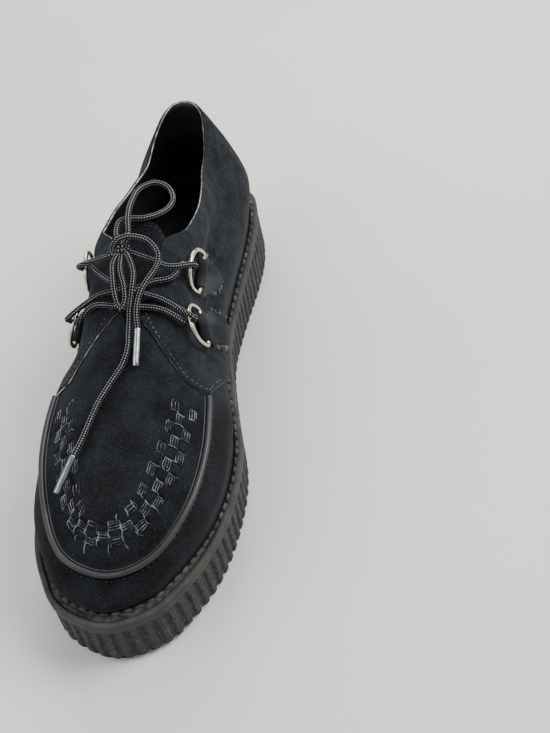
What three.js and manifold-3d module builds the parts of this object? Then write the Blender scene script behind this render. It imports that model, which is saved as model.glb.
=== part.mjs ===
// Creeper shoe, right foot, standing empty on its flat rubber sole. Millimetres.
// +X runs from heel to toe, +Y to the inner side of the foot, +Z up.

import * as THREE from 'three';
import { mergeVertices } from 'three/addons/utils/BufferGeometryUtils.js';
import Module from 'manifold-3d';

const wasm = await Module();
wasm.setup();

// Driving dimensions of the sole
const LENGTH = 300;
const BALL_WIDTH = 100;
const WAIST_WIDTH = 70;
const HEEL_WIDTH = 73;
const HEEL_THICKNESS = 37;
const FOREPART_THICKNESS = 30;
const TOE_SPRING = 2.5;
const ARCH_LIFT = 1.5;
const RIM_BAND = 5.5;
const RIM_LIP = 3;
const RIM_CHAMFER = 0.7;
const WELT_RECESS = 2;
const WELT_THICKNESS = 1.7;
const WELT_GAP = 0.8;
const RIB_PITCH = 6.5;
const RIB_DEPTH = 1.6;
const RIB_SETBACK = 0.5;

// Driving dimensions of the upper, measured from its feather line
const WALL = 2;
const BACK_HEIGHT = 69;
const INSTEP_HEIGHT = 68;
const CREASE_HEIGHT = 33;
const COLLAR_WIDTH = 50;
const FACING_GAP = 29;
const LEDGE = 5;
const TOE_LEDGE = 8.5;
const CREASE_INSET = 6.5;
const BULGE = 3.5;

// Driving dimensions of the trim
const CLEARANCE = 0.3;
const PIPING = 2.8;
const PIPING_START = 0.627;
const INSOLE = 3;
const TONGUE = 2.2;
const TONGUE_RISE = 13;
const TONGUE_LAP = 0.12;
const LAP_STEP = 1.3;
const LAP_FADE = 26;
const WEAVE_PITCH = 11.4;
const WEAVE_BLOCK = 4.6;
const WEAVE_STRIP = 3.6;
const WEAVE_RELIEF = 0.9;
const WEAVE_START = 0.669;
const RING_WIDTH = 23;
const RING_DEPTH = 19.5;
const RING_WIRE = 2.2;
const RING_CORNER = 2;
const TAB_NECK = 14.5;
const TAB_WIDTH = 19;
const TAB_LENGTH = 32;
const TAB_THICKNESS = 2.3;
const TAB_SKIN = 1.3;
const LACE = 2.8;
const LACE_STEP = 8;
const KNOT_SIZE = 5.4;
const AGLET_LENGTH = 18;
const AGLET = 3.4;
const DECK_CROWN = 0.12;

// Facet counts
const SIDE_COLUMNS_BACK = 20;
const SIDE_COLUMNS_FRONT = 14;
const UPPER_HEIGHTS = [0, 0.10, 0.25, 0.36, 0.5, 0.58, 0.66, 0.75, 0.84, 0.92, 1];
const CORD_SIDES = 8;
const WIRE_SIDES = 6;

// Places along the shoe, as shares of the way round from heel seam to toe tip
const THROAT = 0.57;
const POLE = 0.87;
const EASE_FROM = 0.72;
const EASE_TO = 0.92;

// Smoothing of the apron's edge round the toe: spacing as a share of the way, and weights
const EASE_STEP = 0.03;
const EASE_WEIGHTS = [3 / 9, 2 / 9, 1 / 9];

// Rim of the sole. Widths are shares of half the width named in the row.
const OUTLINE = [
  { at: 0.03, of: HEEL_WIDTH, inner: 0.78, outer: 0.68 },
  { at: 0.10, of: HEEL_WIDTH, inner: 0.97, outer: 0.95 },
  { at: 0.18, of: HEEL_WIDTH, inner: 0.99, outer: 1.01 },
  { at: 0.30, of: WAIST_WIDTH, inner: 0.965, outer: 1.035 },
  { at: 0.42, of: WAIST_WIDTH, inner: 0.955, outer: 1.05 },
  { at: 0.54, of: BALL_WIDTH, inner: 0.822, outer: 0.852 },
  { at: 0.66, of: BALL_WIDTH, inner: 1.01, outer: 0.976 },
  { at: 0.76, of: BALL_WIDTH, inner: 1.016, outer: 0.98 },
  { at: 0.85, of: BALL_WIDTH, inner: 0.908, outer: 0.888 },
  { at: 0.92, of: BALL_WIDTH, inner: 0.714, outer: 0.698 },
  { at: 0.97, of: BALL_WIDTH, inner: 0.48, outer: 0.472 },
];
const TIP_SHIFT = 1.5;

// Heights of the sole along the shoe: thickness at the rim, and how far the bottom lifts.
const SOLE_HEIGHTS = [
  { at: 0, top: HEEL_THICKNESS, lift: 1.2 },
  { at: 0.05, top: HEEL_THICKNESS, lift: 0 },
  { at: 0.22, top: 0.5 * (HEEL_THICKNESS + FOREPART_THICKNESS), lift: 0 },
  { at: 0.40, top: FOREPART_THICKNESS, lift: ARCH_LIFT },
  { at: 0.52, top: FOREPART_THICKNESS, lift: 0 },
  { at: 0.80, top: FOREPART_THICKNESS, lift: 0 },
  { at: 1, top: FOREPART_THICKNESS + 0.6 * TOE_SPRING, lift: TOE_SPRING },
];

// Width of the ledge between rim and upper, and outward slope of the ribbed side at its foot.
const EDGE_OF_SOLE = [
  { round: 0, ledge: LEDGE, flare: 1 },
  { round: 0.15, ledge: LEDGE, flare: 0 },
  { round: 0.40, ledge: 0.9 * LEDGE, flare: -1.5 },
  { round: 0.70, ledge: 0.95 * LEDGE, flare: -1 },
  { round: 0.85, ledge: 0.5 * (LEDGE + TOE_LEDGE), flare: 0.6 },
  { round: 1, ledge: TOE_LEDGE, flare: 1.6 },
];

// Lower wall of the upper: its fullest line, then the crease where side turns into top.
const SIDE = [
  { round: 0, out: BULGE, low: 0.60, inner: 0.1, outer: 0.1, up: 1.27 },
  { round: 0.10, out: BULGE, low: 0.60, inner: 0.3, outer: 0.3, up: 1.27 },
  { round: 0.18, out: 0.9 * BULGE, low: 0.62, inner: 0.7, outer: 0.6, up: 1.22 },
  { round: 0.29, out: BULGE, low: 0.66, inner: 0.8, outer: 0.55, up: 1.20 },
  { round: 0.40, out: 1.15 * BULGE, low: 0.70, inner: 0.8, outer: 0.4, up: 1.20 },
  { round: 0.50, out: 0.9 * BULGE, low: 0.64, inner: 0.85, outer: 0.55, up: 1.18 },
  { round: 0.57, out: 0.65 * BULGE, low: 0.58, inner: 0.9, outer: 0.75, up: 1.13 },
  { round: 0.64, out: 0.5 * BULGE, low: 0.52, inner: 0.92, outer: 0.88, up: 1.06 },
  { round: 0.72, out: 0.45 * BULGE, low: 0.46, inner: 0.68, outer: 1.1, up: 0.97 },
  { round: 0.80, out: 0.45 * BULGE, low: 0.40, inner: 0.38, outer: 1.25, up: 0.84 },
  { round: 0.88, out: 0.45 * BULGE, low: 0.32, inner: 0.27, outer: 0.97, up: 0.67 },
  { round: 0.94, out: 0.5 * BULGE, low: 0.27, inner: 0.6, outer: 1.15, up: 0.61 },
  { round: 1, out: 0.5 * BULGE, low: 0.25, inner: 1.45, outer: 1.45, up: 0.55 },
];

// Top line of the upper: collar, facing and, past the throat, the ridge of the apron.
const TOP = [
  { round: 0, at: 0.025, of: COLLAR_WIDTH, inner: 0, outer: 0, mid: 1.2, up: BACK_HEIGHT },
  { round: 0.05, at: 0.028, of: COLLAR_WIDTH, inner: 0.25, outer: 0.25, mid: 1, up: 0.985 * BACK_HEIGHT },
  { round: 0.10, at: 0.045, of: COLLAR_WIDTH, inner: 0.46, outer: 0.46, mid: 0.5, up: 0.94 * BACK_HEIGHT },
  { round: 0.16, at: 0.085, of: COLLAR_WIDTH, inner: 0.60, outer: 0.60, mid: -0.6, up: 0.85 * BACK_HEIGHT },
  { round: 0.22, at: 0.145, of: COLLAR_WIDTH, inner: 0.69, outer: 0.69, mid: -1.8, up: 0.74 * BACK_HEIGHT },
  { round: 0.29, at: 0.22, of: COLLAR_WIDTH, inner: 0.86, outer: 0.86, mid: -1.8, up: 0.78 * INSTEP_HEIGHT },
  { round: 0.36, at: 0.30, of: COLLAR_WIDTH, inner: 0.97, outer: 0.97, mid: -1.8, up: 0.85 * INSTEP_HEIGHT },
  { round: 0.41, at: 0.365, of: COLLAR_WIDTH, inner: 0.94, outer: 0.94, mid: -2, up: 0.925 * INSTEP_HEIGHT },
  { round: 0.44, at: 0.41, of: FACING_GAP, inner: 1, outer: 1, mid: -1, up: INSTEP_HEIGHT },
  { round: 0.48, at: 0.46, of: FACING_GAP, inner: 0.8, outer: 0.8, mid: -1.5, up: 0.935 * INSTEP_HEIGHT },
  { round: 0.53, at: 0.515, of: FACING_GAP, inner: 0.5, outer: 0.5, mid: -1.8, up: 0.845 * INSTEP_HEIGHT },
  { round: THROAT, at: 0.56, of: FACING_GAP, inner: 0, outer: 0, mid: -2, up: 0.775 * INSTEP_HEIGHT },
  { round: 0.64, at: 0.625, of: FACING_GAP, inner: 0, outer: 0, mid: -2, up: 0.675 * INSTEP_HEIGHT },
  { round: 0.70, at: 0.685, of: FACING_GAP, inner: 0, outer: 0, mid: -1.4, up: 0.595 * INSTEP_HEIGHT },
  { round: 0.76, at: 0.74, of: FACING_GAP, inner: 0, outer: 0, mid: -0.6, up: 0.53 * INSTEP_HEIGHT },
  { round: 0.82, at: 0.785, of: FACING_GAP, inner: 0, outer: 0, mid: 0.3, up: 0.475 * INSTEP_HEIGHT },
  { round: POLE, at: 0.80, of: FACING_GAP, inner: 0, outer: 0, mid: 0.6, up: 0.455 * INSTEP_HEIGHT },
  { round: 1, at: 0.80, of: FACING_GAP, inner: 0, outer: 0, mid: 0.6, up: 0.455 * INSTEP_HEIGHT },
];

// How the top panel swells between crease and top line.
const SWELL = [
  { round: 0, push: 0.5, raise: 0 },
  { round: 0.30, push: 1.5, raise: 0.05 },
  { round: 0.40, push: 3.5, raise: 0.12 },
  { round: 0.48, push: 4, raise: 0.18 },
  { round: 0.57, push: 1.5, raise: 0.26 },
  { round: 0.66, push: 0, raise: 0.26 },
  { round: 1, push: 0, raise: 0.26 },
];

// Front edge of the quarters where they lap over the vamp: how far round, at each height.
const LAP_EDGE = [
  { height: 0.985, round: 0.551 },
  { height: 0.93, round: 0.555 },
  { height: 0.81, round: 0.576 },
  { height: 0.70, round: 0.603 },
  { height: 0.60, round: 0.620 },
  { height: 0.51, round: 0.617 },
  { height: 0.425, round: 0.594 },
  { height: 0.29, round: 0.560 },
  { height: 0.15, round: 0.530 },
  { height: 0.03, round: 0.508 },
];

// Heights of the three rows of the woven band.
const WEAVE_ROWS = [
  { round: 0, outer: 0.572, middle: 0.632, inner: 0.668 },
  { round: 0.66, outer: 0.572, middle: 0.632, inner: 0.668 },
  { round: 0.70, outer: 0.597, middle: 0.645, inner: 0.686 },
  { round: 0.75, outer: 0.612, middle: 0.662, inner: 0.718 },
  { round: 0.80, outer: 0.632, middle: 0.677, inner: 0.745 },
  { round: 0.85, outer: 0.641, middle: 0.682, inner: 0.749 },
  { round: 0.90, outer: 0.642, middle: 0.680, inner: 0.736 },
  { round: 1, outer: 0.632, middle: 0.661, inner: 0.690 },
];

// Lace rings on each side: place of the straight bar, and how far the ring leans forward.
const RINGS = [
  { name: 'upper', round: 0.424, height: 0.64, lean: 0.8 },
  { name: 'lower', round: 0.498, height: 0.515, lean: 0.62 },
];

// Places over the top of the shoe: how far round, how far across from the outer facing at -1
// to the inner facing at 1, and the lift above the leather in lace diameters.
const KNOT = { round: 0.470, across: -0.18, lift: 2.9 };
const KNOT_TO_INNER = [
  { round: 0.476, across: 0.30, lift: 2.6 },
  { round: 0.480, across: 0.85, lift: 2.65 },
  { round: 0.479, across: 1.16, lift: 2.5 },
];
const KNOT_TO_OUTER = [
  { round: 0.474, across: -0.60, lift: 2.6 },
  { round: 0.471, across: -1.05, lift: 2.4 },
];
const CROSS_UNDER = [
  { round: 0.489, across: 1.27, lift: 1.5 },
  { round: 0.505, across: 1.04, lift: 1.3 },
  { round: 0.520, across: 0.45, lift: 1.2 },
  { round: 0.522, across: -0.20, lift: 1.1 },
  { round: 0.522, across: -0.90, lift: 1.3 },
  { round: 0.520, across: -1.22, lift: 1.3 },
];
const CROSS_OVER = [
  { round: 0.491, across: -1.10, lift: 1.5 },
  { round: 0.512, across: -0.60, lift: 2.4 },
  { round: 0.523, across: 0.20, lift: 2.4 },
  { round: 0.526, across: 0.85, lift: 1.7 },
  { round: 0.525, across: 1.25, lift: 1.3 },
];
const BAR = [
  { round: 0.533, across: -1.29, lift: 1.4 },
  { round: 0.543, across: -1.02, lift: 1.4 },
  { round: 0.546, across: 0.30, lift: 1.2 },
  { round: 0.544, across: 1.06, lift: 1.4 },
  { round: 0.538, across: 1.33, lift: 1.4 },
];
const LOOP_UP = [
  { round: 0.455, across: -0.02, lift: 3.6 },
  { round: 0.439, across: -0.09, lift: 4.1 },
  { round: 0.418, across: -0.09, lift: 4.4 },
  { round: 0.377, across: -0.07, lift: 4.4 },
  { round: 0.360, across: 0.13, lift: 4.3 },
  { round: 0.364, across: 0.36, lift: 3.9 },
  { round: 0.384, across: 0.53, lift: 3.3 },
  { round: 0.405, across: 0.54, lift: 2.8 },
  { round: 0.421, across: 0.44, lift: 2.5 },
  { round: 0.430, across: 0.19, lift: 2.4 },
  { round: 0.431, across: -0.10, lift: 2.5 },
  { round: 0.436, across: -0.36, lift: 3.0 },
  { round: 0.450, across: -0.42, lift: 3.1 },
];
const LOOP_DOWN = [
  { round: 0.491, across: -0.38, lift: 3.8 },
  { round: 0.514, across: -0.36, lift: 3.9 },
  { round: 0.533, across: -0.33, lift: 3.5 },
  { round: 0.547, across: -0.24, lift: 3.0 },
  { round: 0.552, across: 0.04, lift: 2.9 },
  { round: 0.541, across: 0.21, lift: 3.3 },
  { round: 0.523, across: 0.07, lift: 3.8 },
  { round: 0.502, across: -0.10, lift: 4.0 },
];
const END_SHORT = [
  { round: 0.480, across: -0.44, lift: 3.7 },
  { round: 0.472, across: -0.42, lift: 4.4 },
  { round: 0.464, across: -0.20, lift: 5.0 },
  { round: 0.461, across: 0.06, lift: 5.2 },
  { round: 0.461, across: 0.34, lift: 5.2 },
  { round: 0.463, across: 0.61, lift: 5.0 },
  { round: 0.470, across: 0.85, lift: 4.8 },
  { round: 0.480, across: 0.95, lift: 4.6 },
  { round: 0.493, across: 1.01, lift: 4.4 },
  { round: 0.513, across: 0.88, lift: 4.2 },
  { round: 0.531, across: 0.80, lift: 3.9 },
  { round: 0.554, across: 1.13, lift: 3.1 },
  { round: 0.578, across: 1.19, lift: 1.8 },
];
const AGLET_SHORT = { round: 0.620, across: 1.20, lift: 1.1 };
const END_LONG = [
  { round: 0.485, across: 0.12, lift: 3.9 },
  { round: 0.506, across: 0.36, lift: 4.0 },
  { round: 0.527, across: 0.44, lift: 4.0 },
  { round: 0.551, across: 0.68, lift: 2.7 },
  { round: 0.580, across: 1.09, lift: 1.65 },
  { round: 0.614, across: 1.09, lift: 1.15 },
  { round: 0.643, across: 1.04, lift: 0.9 },
  { round: 0.669, across: -1.08, lift: 0.9 },
  { round: 0.696, across: -1.21, lift: 0.9 },
  { round: 0.721, across: -1.29, lift: 0.9 },
  { round: 0.750, across: -1.38, lift: 1.07 },
  { round: 0.774, across: -1.48, lift: 1.36 },
];
const AGLET_LONG = { round: 0.812, across: -1.71, lift: 1.4 };

// Interpolation through table rows

// Slope at a row, level wherever the rows turn, so that no curve overshoots its table.
function slopeAt(before, here, after) {
  const left = (here.value - before.value) / (here.key - before.key);
  const right = (after.value - here.value) / (after.key - here.key);
  if (left * right <= 0) return 0;
  return 2 * left * right / (left + right);
}

function hermite(a, b, slopeA, slopeB, share, span) {
  const s2 = share * share;
  const s3 = s2 * share;
  return (2 * s3 - 3 * s2 + 1) * a + (s3 - 2 * s2 + share) * span * slopeA
    + (3 * s2 - 2 * s3) * b + (s3 - s2) * span * slopeB;
}

function interpolate(keys, place) {
  let i = 1;
  while (i < keys.length - 2 && keys[i + 1].key < place) i += 1;
  const a = keys[i];
  const b = keys[i + 1];
  const span = b.key - a.key;
  const slopeA = slopeAt(keys[i - 1], a, b);
  const slopeB = slopeAt(a, b, keys[i + 2] ?? { key: b.key + span, value: b.value });
  return hermite(a.value, b.value, slopeA, slopeB, (place - a.key) / span, span);
}

// A value that follows the length of the shoe.
function alongTable(rows, column) {
  const keys = rows.map((row) => ({ key: row.at, value: row[column] }));
  keys.unshift({ key: -0.1, value: keys[0].value });
  keys.push({ key: 1.1, value: keys[keys.length - 1].value });
  return (at) => interpolate(keys, Math.min(1, Math.max(0, at)));
}

// A value that follows the way round: inner side from 0 to 1, outer side from 0 to -1.
function roundTable(rows, inner, outer) {
  const ring = [];
  for (const row of rows.slice(1, -1).reverse()) ring.push({ key: -row.round, value: outer(row) });
  for (const row of rows) ring.push({ key: row.round, value: inner(row) });
  const count = ring.length;
  const keys = [];
  for (let i = -2; i < count + 2; i += 1) {
    const turn = Math.floor(i / count);
    const entry = ring[i - turn * count];
    keys.push({ key: entry.key + 2 * turn, value: entry.value });
  }
  return (way) => interpolate(keys, way > 1 ? way - 2 : way < -1 ? way + 2 : way);
}

const evenTable = (rows, column) => roundTable(rows, (row) => row[column], (row) => row[column]);

// Sole outline

function rimPoints() {
  const side = (sign, column) => OUTLINE.map((row) => (
    new THREE.Vector3(row.at * LENGTH, sign * row[column] * row.of / 2, 0)));
  const heel = new THREE.Vector3(0, TIP_SHIFT, 0);
  const toe = new THREE.Vector3(LENGTH, TIP_SHIFT, 0);
  const points = [heel, ...side(1, 'inner'), toe, ...side(-1, 'outer').reverse()];
  return new THREE.CatmullRomCurve3(points, true, 'centripetal').getPoints(2400);
}

// One side of the rim, from heel to toe, with the distance walked at each point.
function walk(points) {
  const steps = [0];
  for (let i = 1; i < points.length; i += 1) {
    steps.push(steps[i - 1] + points[i].distanceTo(points[i - 1]));
  }
  return { points, steps, total: steps[steps.length - 1] };
}

const rim = rimPoints();
const toeIndex = rim.reduce((best, point, i) => (point.x > rim[best].x ? i : best), 0);
const INNER_RIM = walk(rim.slice(0, toeIndex + 1));
const OUTER_RIM = walk(rim.slice(toeIndex).reverse());
const PERIMETER = INNER_RIM.total + OUTER_RIM.total;

function rimPoint(way) {
  let turned = way;
  if (turned > 1) turned -= 2;
  if (turned < -1) turned += 2;
  const side = turned >= 0 ? INNER_RIM : OUTER_RIM;
  const target = Math.abs(turned) * side.total;
  let low = 0;
  let high = side.steps.length - 1;
  while (high - low > 1) {
    const middle = (low + high) >> 1;
    if (side.steps[middle] > target) high = middle;
    else low = middle;
  }
  const share = (target - side.steps[low]) / (side.steps[high] - side.steps[low]);
  return side.points[low].clone().lerp(side.points[high], share);
}

// Horizontal direction that points away from the shoe at a place on the rim.
function rimOutward(way) {
  const step = 0.004;
  const run = rimPoint(way + step).sub(rimPoint(way - step));
  return new THREE.Vector3(-run.y, run.x, 0).normalize();
}

function rimInset(way, inset) {
  return rimPoint(way).addScaledVector(rimOutward(way), -inset);
}

const soleTop = alongTable(SOLE_HEIGHTS, 'top');
const soleLift = alongTable(SOLE_HEIGHTS, 'lift');
const ledgeAt = evenTable(EDGE_OF_SOLE, 'ledge');
const flareAt = evenTable(EDGE_OF_SOLE, 'flare');
const topAt = (point) => soleTop(point.x / LENGTH);
const bottomAt = (point) => soleLift(point.x / LENGTH);
const floorAt = (point) => topAt(point) - WELT_RECESS;

// Surface of the upper

const outAt = evenTable(SIDE, 'out');
const lowAt = evenTable(SIDE, 'low');
const inAt = roundTable(SIDE, (row) => row.inner, (row) => row.outer);
const upAt = evenTable(SIDE, 'up');
const pushAt = evenTable(SWELL, 'push');
const raiseAt = evenTable(SWELL, 'raise');
const topLineX = evenTable(TOP, 'at');
const topLineUp = evenTable(TOP, 'up');
const topLineY = roundTable(
  TOP,
  (row) => row.mid + row.inner * row.of / 2,
  (row) => row.mid - row.outer * row.of / 2,
);

const smooth = (low, high, value) => {
  const share = Math.min(1, Math.max(0, (value - low) / (high - low)));
  return share * share * (3 - 2 * share);
};

const FEATHER_SEAT = HEEL_THICKNESS - WELT_RECESS + CLEARANCE;

function featherPoint(way) {
  const point = rimInset(way, ledgeAt(way));
  point.z = floorAt(point) + CLEARANCE;
  return point;
}

const turned = (way) => (way > 1 ? way - 2 : way < -1 ? way + 2 : way);

const inset = (way) => rimInset(way, ledgeAt(way) + inAt(way) * CREASE_INSET);

// Edge of the apron. Round the toe it runs through the mean of nearby places, so it stays a
// smooth bow where the wall below turns tightly.
function creasePoint(way) {
  const point = inset(way);
  const share = smooth(EASE_FROM, EASE_TO, Math.abs(turned(way)));
  if (share === 0) return point;
  const mean = point.clone().multiplyScalar(EASE_WEIGHTS[0]);
  for (const step of [1, 2]) {
    mean.addScaledVector(inset(turned(way + step * EASE_STEP)), EASE_WEIGHTS[step]);
    mean.addScaledVector(inset(turned(way - step * EASE_STEP)), EASE_WEIGHTS[step]);
  }
  return point.lerp(mean, share);
}

// The five lines that shape the upper at one place round the shoe.
function lines(way) {
  const feather = featherPoint(way);
  const outward = rimOutward(way);
  const full = feather.clone().addScaledVector(outward, outAt(way));
  full.z += lowAt(way) * CREASE_HEIGHT;
  const crease = creasePoint(way);
  crease.z = feather.z + upAt(way) * CREASE_HEIGHT;
  const top = new THREE.Vector3(topLineX(way) * LENGTH, topLineY(way), FEATHER_SEAT + topLineUp(way));
  const panel = crease.clone().lerp(top, 0.5).addScaledVector(outward, pushAt(way));
  panel.z += raiseAt(way) * (top.z - crease.z);
  return { feather, full, crease, panel, top };
}

function span(a, b, leave, arrive, share) {
  const point = new THREE.Vector3();
  for (const axis of ['x', 'y', 'z']) {
    point[axis] = hermite(a[axis], b[axis], leave[axis], arrive[axis], share, 1);
  }
  return point;
}

const half = (from, to) => to.clone().sub(from).multiplyScalar(0.5);

// A point of the outer surface. Height runs from 0 at the feather line, through 0.25 at the
// fullest line and 0.5 at the crease, to 1 at the top line.
function skin(way, height) {
  const { feather, full, crease, panel, top } = lines(way);
  const sharp = smooth(0.50, 0.60, Math.abs(turned(way)));
  const closed = smooth(THROAT - 0.07, THROAT, Math.abs(turned(way)));
  const rise = new THREE.Vector3(0, 0, full.distanceTo(feather));
  const roll = half(full, panel);
  if (height <= 0.25) return span(feather, full, rise, half(feather, crease), height / 0.25);
  if (height <= 0.5) {
    const meet = roll.clone().lerp(crease.clone().sub(full), sharp);
    return span(full, crease, half(feather, crease), meet, height / 0.25 - 1);
  }
  if (height <= 0.75) {
    const leave = roll.clone().lerp(panel.clone().sub(crease).multiplyScalar(1.1), sharp);
    return span(crease, panel, leave, half(crease, top), height / 0.25 - 2);
  }
  const finish = top.clone().sub(panel);
  finish.z *= 1 - closed;
  return span(panel, top, half(crease, top), finish, height / 0.25 - 3);
}

// Direction out of the surface. On the ridge it stays in the shoe's middle plane.
function skinNormal(way, height) {
  if (height > 0.999 && Math.abs(way) >= THROAT - 1e-6) {
    const step = 0.01;
    const run = skin(Math.min(POLE, Math.abs(way)) + step, 1).sub(skin(Math.abs(way) - step, 1));
    if (Math.abs(way) >= POLE || run.length() < 1e-6) return new THREE.Vector3(0.25, 0, 1).normalize();
    return new THREE.Vector3(-run.z, 0, run.x).normalize();
  }
  const step = 0.004;
  const low = Math.max(0, height - step);
  const high = Math.min(1, height + step);
  const alongRun = skin(way + step, height).sub(skin(way - step, height));
  const upRun = skin(way, high).sub(skin(way, low));
  return upRun.cross(alongRun).normalize();
}

function skinOffset(way, height, offset) {
  return skin(way, height).addScaledVector(skinNormal(way, height), offset);
}

// Solids from facets

// Collects facets as triples of points and drops the ones that shrink to a line.
class Facets {
  constructor() {
    this.corners = [];
  }

  triangle(a, b, c) {
    this.corners.push(a, b, c);
  }

  quad(a, b, c, d) {
    this.triangle(a, b, c);
    this.triangle(a, c, d);
  }

  flip() {
    for (let i = 0; i < this.corners.length; i += 3) {
      [this.corners[i], this.corners[i + 1]] = [this.corners[i + 1], this.corners[i]];
    }
  }

  // Quads between two rows of points, with the row's last point joined to its first if closed.
  strip(lower, upper, closed = false) {
    const last = closed ? lower.length : lower.length - 1;
    for (let i = 0; i < last; i += 1) {
      const j = (i + 1) % lower.length;
      this.quad(lower[i], upper[i], upper[j], lower[j]);
    }
  }

  geometry() {
    const position = new Float32Array(this.corners.flatMap((point) => [point.x, point.y, point.z]));
    const loose = new THREE.BufferGeometry();
    loose.setAttribute('position', new THREE.BufferAttribute(position, 3));
    const merged = mergeVertices(loose, 1e-4);
    const kept = [];
    const index = merged.index.array;
    for (let i = 0; i < index.length; i += 3) {
      const [a, b, c] = [index[i], index[i + 1], index[i + 2]];
      if (a !== b && b !== c && c !== a) kept.push(a, b, c);
    }
    merged.setIndex(kept);
    return merged;
  }
}

function toSolid(geometry) {
  const bare = geometry.clone();
  bare.deleteAttribute('normal');
  bare.deleteAttribute('uv');
  const merged = mergeVertices(bare, 1e-4);
  return new wasm.Manifold(new wasm.Mesh({
    numProp: 3,
    vertProperties: new Float32Array(merged.attributes.position.array),
    triVerts: new Uint32Array(merged.index.array),
  }));
}

function toGeometry(solid) {
  const mesh = solid.getMesh();
  const geometry = new THREE.BufferGeometry();
  geometry.setAttribute('position', new THREE.BufferAttribute(new Float32Array(mesh.vertProperties), 3));
  geometry.setIndex(new THREE.BufferAttribute(new Uint32Array(mesh.triVerts), 1));
  return geometry;
}

// A round cord through a closed list of points, with a section of the given number of sides.
function closedTube(points, radius, sides, steps) {
  const curve = new THREE.CatmullRomCurve3(points, true, 'centripetal');
  return new THREE.TubeGeometry(curve, steps, radius, sides, true);
}

// A flat plate that spans the shoe between two mirrored rows of a ring of points.
// The ring runs from the toe round the outer side to the heel and back along the inner side.
function bridge(facets, ring, facingUp) {
  const count = ring.length;
  const middle = count / 2;
  for (let i = 0; i < middle; i += 1) {
    const outer = [ring[i], ring[i + 1]];
    const inner = [ring[(count - i) % count], ring[(count - i - 1) % count]];
    if (facingUp) facets.quad(outer[0], inner[0], inner[1], outer[1]);
    else facets.quad(outer[0], outer[1], inner[1], inner[0]);
  }
}

const ringOf = (count, place) => (
  Array.from({ length: count }, (_, i) => place(-1 + 2 * i / count, i)));

// Outsole: one moulding with a ribbed side, a smooth rim and a recess for the welt

function outsoleGeometry() {
  const ribs = 2 * Math.round(PERIMETER / RIB_PITCH / 2);
  const edges = [0.28, 0.40, 0.60, 0.72];
  const ribTop = (point) => topAt(point) - RIM_BAND;
  const foot = [];
  const head = [];
  for (let rib = 0; rib < ribs; rib += 1) {
    edges.forEach((edge, i) => {
      const way = -1 + 2 * (rib + edge) / ribs;
      const depth = RIB_SETBACK + (i === 1 || i === 2 ? RIB_DEPTH : 0);
      const low = rimInset(way, depth - flareAt(way));
      const high = rimInset(way, depth);
      low.z = bottomAt(low);
      high.z = ribTop(rimPoint(way));
      foot.push(low);
      head.push(high);
    });
  }
  const rimRing = (inset, height) => ringOf(ribs, (way) => {
    const point = rimInset(way, inset);
    point.z = height(rimPoint(way));
    return point;
  });
  const under = rimRing(0, ribTop);
  const brow = rimRing(0, (point) => topAt(point) - RIM_CHAMFER);
  const crown = rimRing(RIM_CHAMFER, topAt);
  const lip = rimRing(RIM_LIP, topAt);
  const seat = ringOf(ribs, (way) => {
    const point = rimInset(way, RIM_LIP);
    point.z = floorAt(point);
    return point;
  });
  const facets = new Facets();
  bottomPlate(facets, foot);
  facets.strip(foot, head, true);
  for (let rib = 0; rib < ribs; rib += 1) {
    const next = (rib + 1) % ribs;
    const [a, b, c, d] = [0, 1, 2, 3].map((i) => head[4 * rib + i]);
    const before = head[(4 * rib + 4 * ribs - 1) % (4 * ribs)];
    facets.triangle(before, under[rib], a);
    facets.triangle(a, under[rib], b);
    facets.triangle(b, under[rib], under[next]);
    facets.triangle(b, under[next], c);
    facets.triangle(c, under[next], d);
  }
  facets.strip(under, brow, true);
  facets.strip(brow, crown, true);
  facets.strip(crown, lip, true);
  facets.strip(lip, seat, true);
  bridge(facets, seat, true);
  return facets.geometry();
}

// The ring of rib corners has none on the middle line, so its two ends close with a flat facet.
function bottomPlate(facets, foot) {
  const count = foot.length;
  for (let i = 0; i < count / 2 - 1; i += 1) {
    facets.quad(foot[i], foot[i + 1], foot[count - 2 - i], foot[count - 1 - i]);
  }
}

// Welt: the stitched strip that lies in the recess round the foot of the upper

function weltGeometry() {
  const count = 72;
  const ring = (inset, rise) => ringOf(count, (way) => {
    const point = rimInset(way, inset(way));
    point.z = floorAt(point) + rise;
    return point;
  });
  const outside = () => RIM_LIP + CLEARANCE;
  const inside = (way) => ledgeAt(way) - WELT_GAP;
  const low = CLEARANCE;
  const high = CLEARANCE + WELT_THICKNESS;
  const facets = new Facets();
  const [a, b, c, d] = [ring(outside, low), ring(outside, high), ring(inside, high), ring(inside, low)];
  facets.strip(a, b, true);
  facets.strip(b, c, true);
  facets.strip(c, d, true);
  facets.strip(d, a, true);
  return facets.geometry();
}

// Insole: the footbed inside the upper

function insoleGeometry() {
  const count = 56;
  const ring = (rise) => ringOf(count, (way) => {
    const point = rimInset(way, ledgeAt(way) + WALL + 2 * CLEARANCE);
    point.z = floorAt(point) + rise;
    return point;
  });
  const low = ring(CLEARANCE);
  const high = ring(CLEARANCE + INSOLE);
  const facets = new Facets();
  bridge(facets, low, false);
  facets.strip(low, high, true);
  bridge(facets, high, true);
  return facets.geometry();
}

// Upper: one hollow wall of leather, open at the collar, down the facings and underneath

function upperWays() {
  const ways = [];
  for (let i = SIDE_COLUMNS_FRONT; i > 0; i -= 1) ways.push(-(THROAT + (1 - THROAT) * i / SIDE_COLUMNS_FRONT));
  for (let i = SIDE_COLUMNS_BACK; i > 0; i -= 1) ways.push(-THROAT * i / SIDE_COLUMNS_BACK);
  for (let i = 0; i < SIDE_COLUMNS_BACK; i += 1) ways.push(THROAT * i / SIDE_COLUMNS_BACK);
  for (let i = 0; i < SIDE_COLUMNS_FRONT; i += 1) ways.push(THROAT + (1 - THROAT) * i / SIDE_COLUMNS_FRONT);
  return ways;
}

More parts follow.
